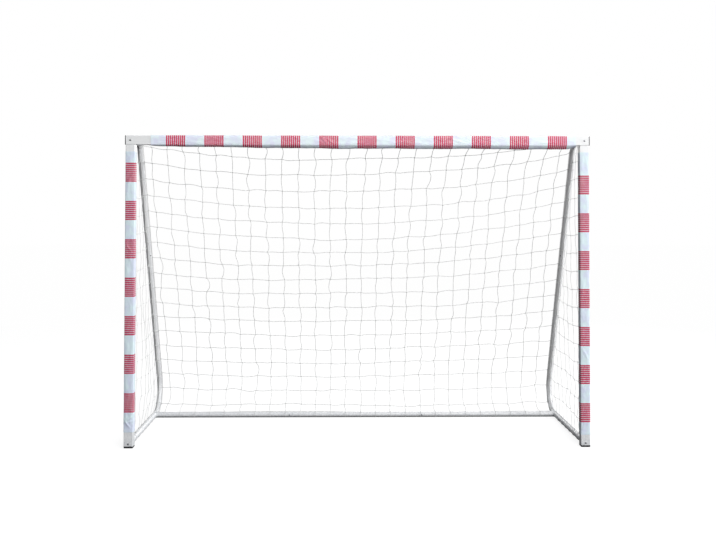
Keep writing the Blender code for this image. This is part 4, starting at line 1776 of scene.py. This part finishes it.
@dataclass(frozen=True)
class Studio:
    """Pale floor, soft light from the right front, and the camera of the photograph."""

    camera_place: Place = (-0.1210, -7.3638, 1.5825)
    yaw: float = -0.01773
    pitch: float = 0.02824
    roll: float = -0.00119
    lens: float = 52.80
    shift_y: float = -0.1385
    lamps: tuple[Lamp, ...] = (
        Lamp("key", place=(1.8, -6.4, 4.5), power=350.0, size=4.0),
        Lamp("rim", place=(9.0, -1.5, 3.5), power=480.0, size=3.0),
        Lamp("back", place=(1.5, 8.0, 3.5), power=190.0, size=4.0),
    )
    sky_colour: tuple[float, ...] = (0.95, 0.97, 1.0, 1)
    sky_side: Place = (0.75, -0.15, 0.64)
    sky_low: float = 0.10
    sky_high: float = 1.0
    sky_fall: float = 2.0
    floor_size: float = 60.0
    floor_shade: float = 0.22
    floor_glow: float = 0.83
    floor_fade: tuple[float, float] = (2.5, 7.0)

    def build(self) -> None:
        """Set up the camera, the lights and the floor."""
        self.build_camera()
        for lamp in self.lamps:
            lamp.build()
        self.build_sky()
        self.build_floor()
        bpy.context.scene.view_settings.view_transform = "Standard"

    def build_camera(self) -> None:
        """Place the camera at the photograph's viewing angle."""
        data = bpy.data.cameras.new("camera")
        data.lens = self.lens
        data.shift_y = self.shift_y
        data.clip_end = 200
        camera = bpy.data.objects.new("camera", data)
        camera.location = self.camera_place
        camera.rotation_euler = (math.pi / 2 + self.pitch, self.roll, self.yaw)
        bpy.context.scene.collection.objects.link(camera)
        bpy.context.scene.camera = camera

    def build_sky(self) -> None:
        """Light the scene softly, most from above on the right, before a white background."""
        world = bpy.data.worlds.new("studio")
        world.use_nodes = True
        bpy.context.scene.world = world
        graph = NodeGraph(world.node_tree)
        white = graph.nodes["Background"]
        white.inputs["Color"].default_value = (1, 1, 1, 1)
        inputs = {0: graph.add("ShaderNodeTexCoord").outputs["Generated"], 1: self.sky_side}
        facing = graph.add("ShaderNodeVectorMath", inputs, operation="DOT_PRODUCT").outputs["Value"]
        level = graph.remap(facing, -1, 1, self.sky_low, self.sky_high)
        inputs = {"Color": self.sky_colour, "Strength": graph.math("POWER", level, self.sky_fall)}
        soft = graph.add("ShaderNodeBackground", inputs)
        seen = graph.add("ShaderNodeLightPath").outputs["Is Camera Ray"]
        mix = graph.add("ShaderNodeMixShader", {0: seen, 1: soft.outputs[0], 2: white.outputs[0]})
        graph.fill(graph.nodes["World Output"].inputs["Surface"], mix.outputs[0])

    def build_floor(self) -> None:
        """Lay the pale floor, which melts into the background and throws no light up at the goal."""
        bpy.ops.mesh.primitive_plane_add(size=self.floor_size, location=(0, 0, -0.0002))
        floor = bpy.context.active_object
        floor.name = "studio_floor"
        graph = ShaderGraph("pale_floor")
        where = graph.place()
        away = graph.add("ShaderNodeVectorMath", {0: where}, operation="LENGTH").outputs["Value"]
        fade = graph.remap(away, *self.floor_fade, 0, 1)
        shade = graph.mix(graph.noise(where, 3, 4), (self.floor_shade,) * 3, (self.floor_shade * 1.05,) * 3)
        graph.drive("Base Color", graph.mix(fade, shade, (0.0, 0.0, 0.0)))
        graph.drive("Emission Strength", graph.remap(fade, 0, 1, self.floor_glow, 0.995))
        graph.set({"Roughness": 0.9, "Emission Color": (1, 1, 1, 1), "Specular IOR Level": 0.0})
        floor.data.materials.append(graph.material)
        floor.visible_diffuse = False
        floor.visible_glossy = False


def main() -> None:
    """Build the goal in order and report each piece."""
    logging.basicConfig(level=logging.INFO, format="%(name)s %(message)s")
    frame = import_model()
    finishes = {
        Slot.STEEL: PowderCoat().material(),
        Slot.PLASTIC: MouldedPlastic().material(),
        Slot.ZINC: ZincPlate().material(),
        Slot.FABRIC: SleeveCloth().material(),
        Slot.CORD: NetTwine().material(),
    }
    Studio().build()
    for side in Side:
        SideFrame(side, finishes[Slot.STEEL]).build()
    RearRail(finishes[Slot.STEEL]).build()
    Fasteners(finishes[Slot.ZINC]).build()
    Sleeves(finishes[Slot.FABRIC], SHADED_POST_CLOTH.material()).build()
    Net(finishes[Slot.CORD], PALE_TWINE.material()).build()
    KeptSolids(frame["nodes"], finishes).dress()


if __name__ == "__main__":
    main()
